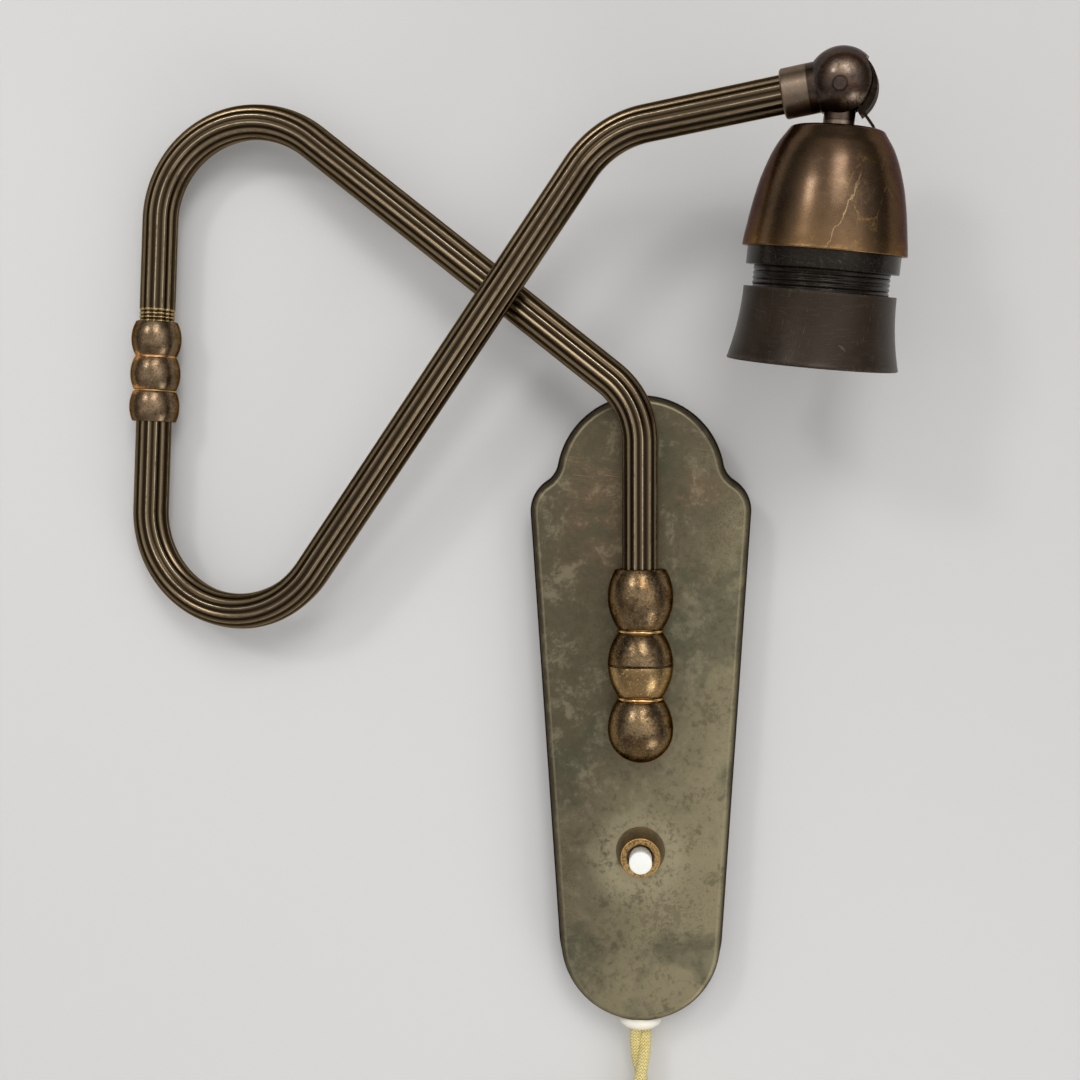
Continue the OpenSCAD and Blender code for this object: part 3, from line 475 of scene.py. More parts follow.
def agedMetal(name, look, detail=None):
    # tone: general colour, deep: its dark patches, warm: its warm ones, worn: rubbed bright
    look = shades({**plainMetal, **look})
    f = Finish(name, look["tone"])
    size, wear = look["patch"], f.mark("wear")
    broad = f.clouds(size, 5.0, 0.6, 0.4)
    fine = f.clouds(size * 0.22, 4.0, 0.65, 0.2, seed=4.0)
    dust = f.clouds(look["grain"], 3.0, 0.7, seed=2.0)
    warmth = f.clouds(size * 0.8, 3.0, 0.6, 0.6, seed=9.0)
    f.lay(look["deep"], f.step(broad * 0.6 + fine * 0.4, 0.44, 0.60), look["patches"])
    f.lay(look["warm"], f.step(warmth * 0.7 + fine * 0.3, 0.48, 0.66), look["warmth"])
    f.lay(look["deep"], f.step(dust, 0.46, 0.34), look["pits"])
    f.lay(look["worn"], f.step(dust, 0.60, 0.70), look["specks"])
    # light wear is a smooth warm tint, heavy wear breaks through in spots
    # on the upper knuckle the wear mark also carries painted highlight streaks beside the waists
    f.lay(look["worn"], wear, look["warmRub"])
    scratches = f.strokes(6.0, 0.12, 0.7).most(f.strokes(4.0, 0.1, 1.9, 0.64)) * look["scratches"]
    rubbed = f.step(fine * 0.5 + dust * 0.5 + wear * 0.4, 0.66, 0.74) * f.step(wear, 0.2, 0.4)
    bright = (rubbed * look["rubbing"]).most(scratches)
    f.lay(look["worn"], bright)
    if detail:
        detail(f, look)
    rough = f.spread(fine * 0.5 + dust * 0.5, *look["rough"]) - bright * 0.06
    normal = f.bump(fine * 0.4 + dust * 0.6, look["bump"], look["relief"])
    return f.done(rough, look["metal"], normal, Specular_Tint=look["rim"],
                  Coat_Weight=look["coat"], Coat_Roughness=look["coatRough"])


def ballDetail(f, look):
    # dark line round the end of the pin, file marks on it
    off, reach = f.beside(pinSpot, pinAxis), f.away(ballSpot)
    front = f.step(f.depth(pinSpot, pinAxis), 5.0, 6.0)
    ring = f.step(off, 1.72, 1.9) * f.step(off, 2.4, 2.15) * front
    files = f.step((f.split(f.place, "X") * 11.0 + f.clouds(1.5) * 5.0).sine(), 0.1, 0.8)
    f.lay(look["deep"], files * f.step(off, 1.9, 1.75) * front, 0.5)
    f.lay(look["gap"], ring, 0.85)
    f.lay(look["deep"], f.step(reach, 11.25, 11.6) * f.step(reach, 12.2, 11.8), 0.7)
    # painted highlights over the pin and low on the right of the ball, broken up by noise, and a sleeve with rub marks
    # over an even painted sheen
    sleeve = f.step(reach, 11.6, 12.0)
    over = f.near(ballSpot + Vector((0.2, -9.8, 2.2)), 1.0, 5.6, (1.0, 1.0, 1.6))
    over = over + f.near(ballSpot + Vector((-3.2, -9.4, 2.9)), 0.2, 2.6)
    under = f.near(ballSpot + Vector((3.0, -6.3, -7.3)), 2.0, 4.2, (0.8, 1.0, 1.2)) * 1.4
    highlightBreakup = f.clouds(1.6, 5.0, 0.7, 0.8, seed=31.0) * 0.6 + f.clouds(0.5, 3.0, 0.7, seed=39.0) * 0.4
    f.lay(look["worn"], over.most(under) * f.step(highlightBreakup, 0.36, 0.64) * (1.0 - sleeve) * (1.0 - ring), 0.42)
    rubs = f.strokes(5.0, 0.16, 0.25, 0.63).most(f.step(f.clouds(0.8, 3.0, 0.6, seed=21.0), 0.58, 0.68))
    # the sleeve's even lightening is painted sheen, its strokes and specks are rub marks
    f.lay(look["worn"], sleeve * (rubs * 0.5).most(0.3))


def capDetail(f, look):
    # fine branched scratches on the right of the cap
    zone = f.near(headPlace @ Vector((13.5, 16.0, 30.0)), 3.0, 14.0, (1.2, 1.2, 0.75))
    bend = {0: f.clouds(3.0, 4.0, 0.7), 1: (3.0, 3.0, 3.0), 2: f.stretched((1.0, 1.0, 0.5))}
    laid = f.vector("MULTIPLY_ADD", bend)
    web = f.seams(7.0, laid, 0.022, 0.006).most(f.seams(3.4, laid, 0.03, 0.01) * 0.25)
    f.lay(look["web"], web * f.step(f.clouds(2.2, 4.0, 0.7, seed=15.0), 0.43, 0.54) * zone, 0.4)
    # one long bent scratch with a fork at its top
    middle = ballSpot + Vector((-1.6, -17.5, -40.6))
    off = f.depth(middle, (0.88, 0, -0.48)) + (f.clouds(6.0, 3.0, 0.6, seed=33.0) - 0.5) * 5.0
    line = f.step(off.size(), 0.24, 0.06) * f.near(middle, 9.0, 11.5)
    off = f.depth(middle, (0.96, 0, -0.28)) - 1.2 + (f.clouds(5.0, 3.0, 0.6, seed=35.0) - 0.5) * 3.0
    fork = f.step(off.size(), 0.2, 0.05) * f.near(middle + Vector((3.4, 0.8, 8.0)), 3.0, 5.0)
    worn = f.spread(f.clouds(1.2, 3.0, 0.6, seed=37.0), 0.1, 0.9)
    f.lay(look["line"], line.most(fork) * worn, 0.6)


darkRim = (0.36, 0.28, 0.20, 1)   # dark metals stay dark where they turn away
plainMetal = {                    # what a look below leaves out
    "metal": 1.0, "grain": 0.45, "patches": 1.0, "warmth": 0.7, "pits": 0.3, "specks": 0.25,
    "scratches": 0.3, "rubbing": 1.0, "warmRub": 0.5, "bump": 0.35, "relief": 0.06,
    "rim": (1, 1, 1, 1), "coat": 0.0, "coatRough": 0.2,
}
metalLooks = {
    "bronzeCap": {"tone": (88, 68, 49), "deep": (64, 47, 32), "warm": (104, 76, 46), "worn": (176, 134, 80),
                  "web": (204, 160, 92), "line": (206, 178, 128), "patch": 16.0, "rough": (0.20, 0.34),
                  "scratches": 0.08, "specks": 0.1, "warmth": 0.4, "patches": 0.7, "bump": 0.16, "coat": 0.25,
                  "rim": darkRim, "rubbing": 0.3, "warmRub": 0.4},
    "brownBrass": {"tone": (124, 105, 79), "deep": (58, 44, 29), "warm": (138, 104, 66), "worn": (222, 184, 122),
                   "patch": 6.0, "rough": (0.14, 0.38), "scratches": 0.16, "specks": 0.5, "pits": 0.8, "patches": 0.8,
                   "warmth": 0.55, "grain": 0.7, "bump": 0.6, "relief": 0.13, "rim": darkRim, "warmRub": 0.7},
    "elbowBrass": {"tone": (124, 107, 85), "deep": (58, 46, 33), "warm": (134, 104, 72), "worn": (214, 156, 104),
                   "patch": 4.0, "rough": (0.14, 0.38), "scratches": 0.14, "specks": 0.45, "pits": 0.8, "patches": 0.6,
                   "warmth": 0.4, "grain": 0.7, "bump": 0.5, "relief": 0.12, "rim": darkRim, "warmRub": 0.35},
    "ballBronze": {"tone": (80, 62, 49), "deep": (48, 35, 26), "warm": (96, 62, 42), "worn": (190, 168, 142),
                   "gap": (22, 15, 11), "patch": 9.0, "rough": (0.30, 0.42), "scratches": 0.08, "specks": 0.1,
                   "bump": 0.3, "grain": 0.8, "relief": 0.1, "coat": 0.5, "coatRough": 0.14, "rim": darkRim},
    "darkIron": {"tone": (36, 29, 24), "deep": (22, 17, 13), "warm": (50, 36, 27), "worn": (112, 98, 80), "patch": 6.0,
                 "metal": 0.9, "rough": (0.28, 0.44), "scratches": 0.1, "specks": 0.1, "bump": 0.2, "rim": darkRim},
    "copperBrown": {"tone": (92, 72, 46), "deep": (38, 27, 17), "warm": (124, 94, 58), "worn": (196, 158, 100),
                    "patch": 2.0, "metal": 0.9, "rough": (0.24, 0.42), "scratches": 0.06, "specks": 0.5,
                    "pits": 0.8, "grain": 0.6, "bump": 0.5},
    "brightBrass": {"tone": (205, 168, 92), "deep": (150, 116, 60), "warm": (220, 178, 90), "worn": (240, 212, 140),
                    "patch": 5.0, "rough": (0.22, 0.38), "scratches": 0.2, "specks": 0.2, "bump": 0.15},
    "dullBrass": {"tone": (150, 118, 72), "deep": (96, 72, 42), "warm": (186, 132, 76), "worn": (220, 182, 116),
                  "patch": 2.5, "metal": 0.95, "rough": (0.3, 0.46), "scratches": 0.1, "specks": 0.2, "bump": 0.3},
    "zincSteel": {"tone": (168, 166, 160), "deep": (120, 116, 108), "warm": (150, 140, 124), "worn": (206, 204, 198),
                  "patch": 7.0, "rough": (0.3, 0.5), "scratches": 0.25, "specks": 0.2, "pits": 0.1, "bump": 0.2},
}
details = {"ballBronze": ballDetail, "bronzeCap": capDetail}
finishes = {name: agedMetal(name, look, details.get(name)) for name, look in metalLooks.items()}

patinaLook = {
    "dark": (91, 83, 66), "light": (148, 138, 110), "green": (76, 78, 63), "pink": (108, 86, 66), "pale": (158, 149, 122),
    "stain": (80, 72, 54), "edge": (40, 32, 22), "rim": (160, 148, 118), "halo": (172, 162, 132), "scratch": (186, 154, 110),
}


def patinaFinish():
    look = shades(patinaLook)
    f = Finish("platePatina", look["dark"])
    broad = f.clouds(34.0, 3.0, 0.55, 0.5)
    middle = f.clouds(9.0, 6.0, 0.68, 0.4, seed=5.0)
    fine = f.clouds(1.8, 5.0, 0.7, 0.3, seed=11.0)
    dust = f.clouds(0.45, 3.0, 0.7, seed=1.0)
    mottle = middle * 0.5 + fine * 0.5
    # painted reflection: the plate is lighter to the right and to the bottom
    slope = f.split(f.place, "X") * 0.011 - f.split(f.place, "Z") * 0.0048 + broad * 0.5
    f.lay(look["light"], f.step(slope, -0.10, 0.86))
    f.lay(look["green"], f.step(f.clouds(26.0, 4.0, 0.6, 0.6, seed=13.0), 0.48, 0.62), 0.6)
    reddish = f.near((-13, -15, 62), 6.0, 30.0, (1.6, 1, 0.8)).most(f.near((16, -15, 70), 3.0, 17.0, (1, 1, 1.8)))
    f.lay(look["pink"], reddish * f.step(middle, 0.36, 0.60), 0.55)
    f.lay(look["pale"], f.step(middle * 0.7 + fine * 0.3, 0.50, 0.62), 0.36)
    f.lay(look["stain"], f.step(mottle, 0.50, 0.40), 0.5)
    # a pale halo round the switch and dark blots under it
    f.lay(look["halo"], f.near((0, -15, -49), 8.5, 19.0) * f.step(mottle, 0.36, 0.52), 0.8)
    blots = f.near((0, -15, -66), 8.0, 30.0, (0.9, 1, 1.25)) * f.step(f.away((0, -15, -47)), 11.0, 15.0)
    f.lay(look["stain"], blots * f.step(middle * 0.35 + fine * 0.65, 0.49, 0.57), 0.42)
    pitted = f.near((31, -15, 58), 5.0, 20.0, (1, 1, 0.8)).most(f.near((-27, -15, -58), 4.0, 26.0, (2.2, 1, 0.7)))
    f.lay(look["stain"], pitted * f.step(fine * 0.4 + dust * 0.6, 0.50, 0.57), 0.6)
    f.lay(look["pale"], f.step(dust, 0.62, 0.74), 0.3)
    f.lay(look["edge"], f.step(dust, 0.40, 0.30), 0.35)
    # a few scratches lie nearly level beside the tube
    level = f.strokes(9.0, 0.14, 0.4, 0.67, (0, 1.45, 0)).most(f.strokes(7.0, 0.12, 2.3, 0.68, (0, 1.75, 0)))
    f.lay(look["scratch"], level * f.near((-15, -15, 74), 4.0, 20.0).most(f.near((17, -15, 78), 2.0, 12.0)), 0.35)
    edge = f.mark("edge")
    # painted highlight: a thin pale line just inside the rounded edge; painted shade: a dark band where the edge turns
    # towards the wall
    f.lay(look["rim"], f.step(edge, 0.05, 0.14) * f.step(edge, 0.32, 0.22) * f.spread(fine, 0.0, 0.6))
    f.lay(look["edge"], f.step(edge, 0.34, 0.62) * f.spread(fine, 0.75, 1.0))
    normal = f.bump(fine * 0.5 + dust * 0.4 + middle * 0.4, 0.2, 0.1)
    return f.done(f.spread(mottle, 0.30, 0.52), 0.7, normal, Specular_Tint=(0.4, 0.34, 0.26, 1), Specular_IOR_Level=0.35)


finishes["platePatina"] = patinaFinish()
tubeLook = {"groove": (42, 34, 24), "flank": (112, 96, 74), "ridge": (190, 174, 146), "brass": (214, 184, 126)}


def tubeFinish():
    look = shades(tubeLook)
    f = Finish("flutedBronze", look["groove"])
    ridge, pinch, pressed = f.mark("ridge"), f.mark("pinch"), f.mark("pressed")
    broad = f.clouds(14.0, 3.0, 0.6)
    fine = f.clouds(1.6, 5.0, 0.7, seed=3.0)
    dust = f.clouds(0.4, 3.0, 0.7, seed=6.0)
    # dark patina with painted shade stays in the flutes; the pale and brass lines on the ridge tops are painted
    # highlight, partly rubbed brass
    f.lay(look["flank"], f.step(ridge, 0.0, 0.55))
    f.lay(look["ridge"], f.step(ridge, 0.80, 1.0) * f.step(broad * 0.5 + fine * 0.5, 0.36, 0.56), 0.8)
    f.lay(look["brass"], f.step(ridge, 0.88, 1.0) * f.step(fine * 0.5 + dust * 0.5, 0.56, 0.66), 0.6)
    # the pressed rings get bright brass on their sides, a painted highlight over rubbed brass, and dark bottoms of
    # painted shade
    f.lay(look["brass"], pinch * f.step(pressed, 0.75, 0.35) * f.step(ridge, -0.2, 0.3), 0.8)
    f.lay(look["groove"], pinch * f.step(pressed, 0.7, 0.95), 0.7)
    normal = f.bump(fine * 0.5 + dust * 0.5, 0.2, 0.05)
    return f.done(f.spread(fine * 0.6 + dust * 0.4, 0.16, 0.34), 1.0, normal, Specular_Tint=(0.6, 0.52, 0.42, 1))


finishes["flutedBronze"] = tubeFinish()
warmGloss = (1, 0.86, 0.72, 1)
plasticLooks = {
    "blackPhenolic": {"tone": (20, 16, 12), "dull": (12, 9, 7), "rough": (0.18, 0.32), "patch": 10.0,
                      "scratch": (112, 104, 92), "gloss": 0.24, "tint": warmGloss},
    "brownPhenolic": {"tone": (44, 34, 26), "dull": (33, 25, 18), "rough": (0.30, 0.42), "patch": 12.0,
                      "scratch": (124, 114, 100), "gloss": 0.26, "tint": warmGloss},
    "whitePlastic": {"tone": (252, 252, 247), "dull": (248, 248, 240), "rough": (0.25, 0.35), "patch": 5.0},
    "ivoryPlastic": {"tone": (254, 251, 238), "dull": (248, 242, 222), "rough": (0.3, 0.42), "patch": 6.0},
    "goldPlastic": {"tone": (214, 178, 96), "dull": (198, 160, 82), "rough": (0.28, 0.4), "patch": 9.0},
    "ceramicBase": {"tone": (232, 230, 222), "dull": (214, 210, 200), "rough": (0.25, 0.45), "patch": 6.0},
    "tieRubber": {"tone": (34, 33, 32), "dull": (26, 25, 24), "rough": (0.5, 0.65), "patch": 4.0},
}


def plasticFinish(name, look):
    look = shades(look)
    f = Finish(name, look["tone"])
    broad = f.clouds(look["patch"], 4.0, 0.6)
    fine = f.clouds(0.6, 4.0, 0.7, seed=2.0)
    f.lay(look["dull"], f.step(broad * 0.6 + fine * 0.4, 0.4, 0.62))
    if "scratch" in look:
        lines = f.strokes(5.0, 0.1, 0.9, 0.655).most(f.strokes(3.0, 0.09, 2.6, 0.66))
        specks = f.step(f.clouds(0.5, 2.0, 0.6, seed=5.0), 0.70, 0.76)
        f.lay(look["scratch"], lines.most(specks) + f.mark("wear") * f.step(fine, 0.50, 0.62), 0.22)
    return f.done(f.spread(fine * 0.5 + broad * 0.5, *look["rough"]), 0.0, f.bump(fine, 0.08, 0.08),
                  Specular_IOR_Level=look.get("gloss", 0.5), Specular_Tint=look.get("tint", (1, 1, 1, 1)))


finishes.update({name: plasticFinish(name, look) for name, look in plasticLooks.items()})
print("finishes made")

# wall plate
plateLook = {
    "height": 203.5, "middle": -1.15, "topRadius": 27.5, "hollowRadius": 8.0,
    "shoulderRadius": 12.0, "shoulderDrop": 37.8, "bottomRadius": 26.9, "taper": 3.76,
    "depth": 15.0, "sheet": 1.0, "edge": 2.2,
    "lip": 0.6, "flare": 1.1, "flareTall": 2.0,   # straight lip at the wall, and the flare over it
    "wallIn": 1.3,                                # side wall inside the lip
    "fine": 4,                                    # how much finer than plain the outline is
}


def plateOutline(inset):
    p = plateLook
    top = Vector((0, p["middle"] + p["height"] / 2 - p["topRadius"]))
    low = Vector((0, p["middle"] + p["bottomRadius"] - p["height"] / 2))
    shoulderZ = p["middle"] + p["height"] / 2 - p["shoulderDrop"]
    taper = radians(p["taper"])
    shoulderX = (p["bottomRadius"] - p["shoulderRadius"] + (shoulderZ - low.y) * sin(taper)) / cos(taper)
    shoulder = Vector((shoulderX, shoulderZ))
    toShoulder = shoulder - top
    a, b = p["topRadius"] + p["hollowRadius"], p["shoulderRadius"] + p["hollowRadius"]
    angle = acos((a * a + toShoulder.length_squared - b * b) / (2 * a * toShoulder.length))
    topEnd = degrees(atan2(toShoulder.y, toShoulder.x) + angle)
    hollow = top + a * Vector((cos(radians(topEnd)), sin(radians(topEnd))))
    start = degrees(atan2(hollow.y - shoulder.y, hollow.x - shoulder.x))
    n = p["fine"]
    half = arcPoints(top, p["topRadius"] - inset, 90, topEnd, 12 * n)
    half += arcPoints(hollow, p["hollowRadius"] + inset, 180 + topEnd, 180 + start, 6 * n)[1:]
    half += arcPoints(shoulder, p["shoulderRadius"] - inset, start, -p["taper"], 8 * n)[1:]
    lowArc = arcPoints(low, p["bottomRadius"] - inset, -p["taper"], -90, 14 * n)
    half += [tuple(Vector(half[-1]).lerp(Vector(lowArc[0]), i / 24)) for i in range(1, 24)] + lowArc
    return half + [(-x, z) for x, z in reversed(half[1:-1])]


def wallPlate():
    # rings are (inset from the outline, out from the wall, edge mark); the edge mark places the painted highlight and
    # painted shade on the rounded edge
    p = plateLook
    wallIn, edge, sheet, flare, tall = p["wallIn"], p["edge"], p["sheet"], p["flare"], p["flareTall"]
    bendAt, inner = p["depth"] - edge, edge - sheet
    rings = [(0, 0, 0.9), (0, p["lip"], 0.9)] + ovalRows(0, p["lip"] + tall, flare, tall, range(-75, 1, 15), 0.8)
    rings += [(wallIn + edge * (1 - cos(radians(a))), bendAt + edge * sin(radians(a)), 0.7 * (1 - a / 90) ** 0.7)
              for a in range(0, 91, 6)]
    front = len(rings) - 1
    rings += ovalRows(wallIn + edge, bendAt, -inner, inner, range(90, -1, -15))
    rings += [(flare + sheet, p["lip"] + tall + sheet, 0.0), (sheet, p["lip"] + sheet, 0.0), (sheet, 0, 0.0)]
    vertices, edgeMark = [], []
    for inset, out, worn in rings:
        outline = plateOutline(inset)
        vertices += [(x, -out, z) for x, z in outline]
        edgeMark += [worn] * len(outline)
    n = len(outline)
    faces = bandFaces([(j, (j + 1) % len(rings)) for j in range(len(rings)) if j != front], n)
    for ring in (front, front + 1):
        # both halves of the outline face each other, so strips across close the front
        row = [ring * n + i for i in range(n)]
        for i in range(n // 2):
            a, b, c, d = row[i], row[i + 1], row[n - i - 1], row[(n - i) % n]
            faces.append((a, b, d) if b == c else (a, b, c, d) if i else (a, b, c))
    return newPiece("wallPlate", vertices, faces, finishes["platePatina"], marks=[("edge", edgeMark)])


putOn(wallPlate(), "wall_base", "patina", "cover_plate")
print("wall plate made")

# lower knuckle
knuckle = {
    "seam": 15.5, "bead": 10.2, "curve": 17.0, "half": 9.8, "groove": 1.5, "grooveRadius": 6.5,
    "washer": 0.5, "ballAt": -5.0, "ringRadius": 7.35,
}


def grooveRows(low, high, inner, ringOut):
    # a groove with a half round ring of brass in it
    half = (high - low) / 2 - 0.12
    ring = ovalRows(inner, (low + high) / 2, ringOut - inner, half, range(-90, 91, 20), 0.9)
    return [(inner, low, 0.9)] + ring + [(inner, high, 0.9)]


def knuckleProfiles():
    k = knuckle
    seam, bead, curve, half, ballLevel = k["seam"], k["bead"], k["curve"], k["half"], k["ballAt"]
    baseTop, turretLow, lowTop, upGroove = seam - k["washer"] / 2, seam + k["washer"] / 2, seam - half, seam + half
    lowGroove, topLow = lowTop - k["groove"], upGroove + k["groove"]
    top = topLow + 2 * half - 1.1
    base = beadRows(seam, bead, lowTop, baseTop, curve, wear=0.34)[::-1]
    base += grooveRows(lowGroove, lowTop, k["grooveRadius"], k["ringRadius"])[::-1]
    base += beadRows(ballLevel, bead, ballLevel, lowGroove, curve)[::-1]
    base += [(x, z, 0) for x, z in arcPoints((0, ballLevel), bead, 0, -90, 24)[1:-1]] + [(0, ballLevel - bead, 0)]
    turret = beadRows(seam, bead, turretLow, upGroove, curve)
    turret += grooveRows(upGroove, topLow, k["grooveRadius"], k["ringRadius"])
    turret += beadRows(topLow + half, bead, topLow, top, curve, 24)
    turret += [(6.15, top, 0.6), (5.75, top - 0.5, 0.4), (5.75, top - 4, 0), (0, top - 4, 0)]
    washer = [(r, seam + up, 0) for r, up in ((4.7, -0.22), (10.1, -0.22), (10.34, 0), (10.1, 0.22), (4.7, 0.22))]
    return [(0, baseTop, 0)] + base, [(0, turretLow, 0)] + turret, washer


brass = finishes["brownBrass"]
baseRows, turretRows, washerRows = knuckleProfiles()
putOn(turned("knuckleBase", baseRows, basePlace, brass), "wall_base", "brown_brass", "knuckle_base", "base_plug")
putOn(turned("knuckleTurret", turretRows, basePlace, brass), "lower_arm", "brown_brass", "knuckle_turret")
putOn(turned("seamWasher", washerRows, basePlace, brass, closed=True, corner=0.1),
      "wall_base", "bright_brass", "lower_swing_washer")
print("lower knuckle made")

# fluted tubes
tube = {
    "radius": 5.7, "flutes": 14, "fluteRadius": 2.2, "fluteDepth": 0.42, "pointsPerFlute": 10,
    "pinches": 3, "pinchPitch": 1.25, "pinchDepth": 0.34,
    "pinchGap": 0.08,     # knuckle to the first pressed ring
    "noPinch": 9000.0,    # a place past the end of any tube
    "stride": 3.0, "bendStep": 3.0, "fineStride": 0.1,   # along the path, the second in degrees
}


def flutedTree():
    # sweeps a fluted section along the path; pinch rings are pressed in where asked
    tree = bpy.data.node_groups.new("flutedTube", "GeometryNodeTree")
    kinds = {"Path": "Geometry", "Points": "Int", "Material": "Material"}
    for name in ("Path", "Radius", "Flutes", "Flute radius", "Flute depth", "Pinch start",
                 "Pinches", "Pinch pitch", "Pinch depth", "Points", "Material"):
        tree.interface.new_socket(name, in_out="INPUT", socket_type="NodeSocket" + kinds.get(name, "Float"))
    tree.interface.new_socket("Tube", in_out="OUTPUT", socket_type="NodeSocketGeometry")
    b = Bench(tree)
    given = {s.name: Wire(b, s) for s in tree.nodes.new("NodeGroupInput").outputs if s.name}
    full, cutRadius, cutDepth, start = (given[name] for name in ("Radius", "Flute radius", "Flute depth", "Pinch start"))

    def stored(geometry, name, value):
        return b.node("GeometryNodeStoreNamedAttribute", {"data_type": "FLOAT", "domain": "POINT"},
                      {"Geometry": geometry, "Name": name, "Value": value})

    circle = b.node("GeometryNodeCurvePrimitiveCircle", {}, {"Resolution": given["Points"], "Radius": full})
    spot = b.node("GeometryNodeInputPosition")
    pitch = 2 * pi / given["Flutes"]
    around = spot.math("ARCTAN2", b.split(spot, "Y"), b.split(spot, "X"))
    off = around % pitch - pitch * 0.5
    cutter = full + cutRadius - cutDepth
    inside = (cutRadius ** 2.0 - (cutter * off.sine()) ** 2.0).most(0.0)
    radius = (cutter * off.cosine() - inside.root()).least(full)
    scaled = b.vector("SCALE", {0: spot, "Scale": radius / full})
    held = stored(circle, "ridge", (radius - full + cutDepth) / cutDepth)
    section = b.node("GeometryNodeSetPosition", {}, {"Geometry": held, "Position": scaled})
    count = (b.node("GeometryNodeSplineParameter", output=1) - start) / given["Pinch pitch"]
    pressed = (count > 0.0) * (count < given["Pinches"]) * (0.5 - (count * 2 * pi).cosine() * 0.5)
    path = stored(given["Path"], "pinch", (count > -0.2) * (count < given["Pinches"] + 0.2))
    path = stored(path, "pressed", pressed)
    pressed = b.node("GeometryNodeInputNamedAttribute", {"data_type": "FLOAT"}, {"Name": "pressed"})
    swept = b.node("GeometryNodeCurveToMesh", {}, {
        "Curve": path, "Profile Curve": section, "Scale": 1.0 - pressed * given["Pinch depth"] / full, "Fill Caps": True})
    smooth = b.node("GeometryNodeSetShadeSmooth", {}, {0: swept})
    real = b.node("GeometryNodeRealizeInstances", {}, {0: smooth})
    done = b.node("GeometryNodeSetMaterial", {}, {"Geometry": real, "Material": given["Material"]})
    b.node("NodeGroupOutput", {}, {0: done})
    return tree


def grown(name, holder, tree, values):
    # runs the tree on the holder and keeps the result as a plain mesh
    modifier = holder.modifiers.new("grow", "NODES")
    modifier.node_group = tree
    for socket in tree.interface.items_tree:
        if socket.name in values:
            modifier[socket.identifier] = values[socket.name]
    bpy.context.view_layer.update()
    graph = bpy.context.evaluated_depsgraph_get()
    mesh = bpy.data.meshes.new_from_object(holder.evaluated_get(graph), preserve_all_data_layers=True, depsgraph=graph)
    bpy.data.objects.remove(holder)
    mesh.name = name
    return newObject(name, mesh)


def steps(start, end, size):
    count = max(1, ceil((end - start).length / size))
    return [start.lerp(end, k / count) for k in range(1, count + 1)]


def bentPath(corners, radii, denseAt=None):
    # points of a path with round corners, in the XZ plane; denseAt is a stretch from its end
    flat = [Vector(c) for c in corners]
    made = [flat[0]]
    for before, corner, after, radius in zip(flat, flat[1:], flat[2:], radii):
        a, b = (before - corner).normalized(), (after - corner).normalized()
        half = a.angle(b) / 2
        start, end = corner + a * (radius / tan(half)), corner + b * (radius / tan(half))
        centre = corner + (a + b).normalized() * (radius / sin(half))
        made += steps(made[-1], start, tube["stride"])
        s = start - centre
        sweep = s.angle_signed(end - centre)
        count = max(4, round(degrees(abs(sweep)) / tube["bendStep"]))
        for k in range(1, count + 1):
            c, n = cos(-sweep * k / count), sin(-sweep * k / count)
            made.append(centre + Vector((s.x * c - s.y * n, s.x * n + s.y * c)))
    if denseAt:
        ahead = (flat[-1] - made[-1]).normalized()
        near, far = flat[-1] - ahead * denseAt[1], flat[-1] - ahead * denseAt[0]
        made += steps(made[-1], near, tube["stride"])
        made += steps(near, far, tube["fineStride"])
    return made + steps(made[-1], flat[-1], tube["stride"])


flutedTube = flutedTree()


def armTube(name, place, points, pinchStart):
    curve = bpy.data.curves.new(name + "Path", "CURVE")
    curve.dimensions = "3D"
    spline = curve.splines.new("POLY")
    spline.points.add(len(points) - 1)
    for spot, p in zip(spline.points, points):
        spot.co = (p.x * 0.001, 0, p.y * 0.001, 1)
    sizes = {"Radius": tube["radius"], "Flute radius": tube["fluteRadius"], "Flute depth": tube["fluteDepth"],
             "Pinch start": pinchStart, "Pinch pitch": tube["pinchPitch"], "Pinch depth": tube["pinchDepth"]}
    piece = grown(name, newObject(name + "Path", curve), flutedTube, {
        **{key: size * 0.001 for key, size in sizes.items()}, "Flutes": float(tube["flutes"]),
        "Pinches": float(tube["pinches"]), "Points": tube["flutes"] * tube["pointsPerFlute"],
        "Material": finishes["flutedBronze"]})
    inMetres = place.copy()
    inMetres.translation *= 0.001
    piece.data.transform(inMetres)
    outward(piece.data)
    return piece


lean, elbow = radians(arms["elbowLean"]), Vector(arms["elbow"])
elbowUp = Vector((-sin(lean), cos(lean)))
elbowTube, elbowTop = 8.95, 16.95     # tube's end and knuckle's top, above the knuckle's middle
pinchLow = elbowTop + tube["pinchGap"] - elbowTube
pinchHigh = pinchLow + tube["pinches"] * tube["pinchPitch"]
lowerPoints = bentPath([*arms["lowerCorners"], elbow + arms["topLift"] * elbowUp, elbow + elbowTube * elbowUp],
                       arms["lowerBends"], denseAt=(pinchLow - 0.3, pinchHigh + 0.3))
lowerLength = sum((b - a).length for a, b in zip(lowerPoints, lowerPoints[1:]))
lowerArm = armTube("lowerArmTube", lowerPlace, lowerPoints, lowerLength - pinchHigh)
putOn(lowerArm, "lower_arm", "bronze_tube", "lower_arm_tube")
upperEnd = farCorner + (arms["endLength"] - arms["sleeveReach"] + arms["tubeIn"]) * endDir
upperPoints = bentPath([*arms["upperCorners"], farCorner, upperEnd], arms["upperBends"])
upperArm = armTube("upperArmTube", upperPlace, upperPoints, tube["noPinch"])
putOn(upperArm, "upper_arm", "bronze_tube", "upper_arm_tube")
print("tubes made", len(lowerArm.data.polygons), len(upperArm.data.polygons))

# upper knuckle
smallBead = {"radius": 8.0, "curve": 11.5, "middle": 10.5, "top": 11.1, "low": 9.7, "groove": 0.6, "waist": 6.5}


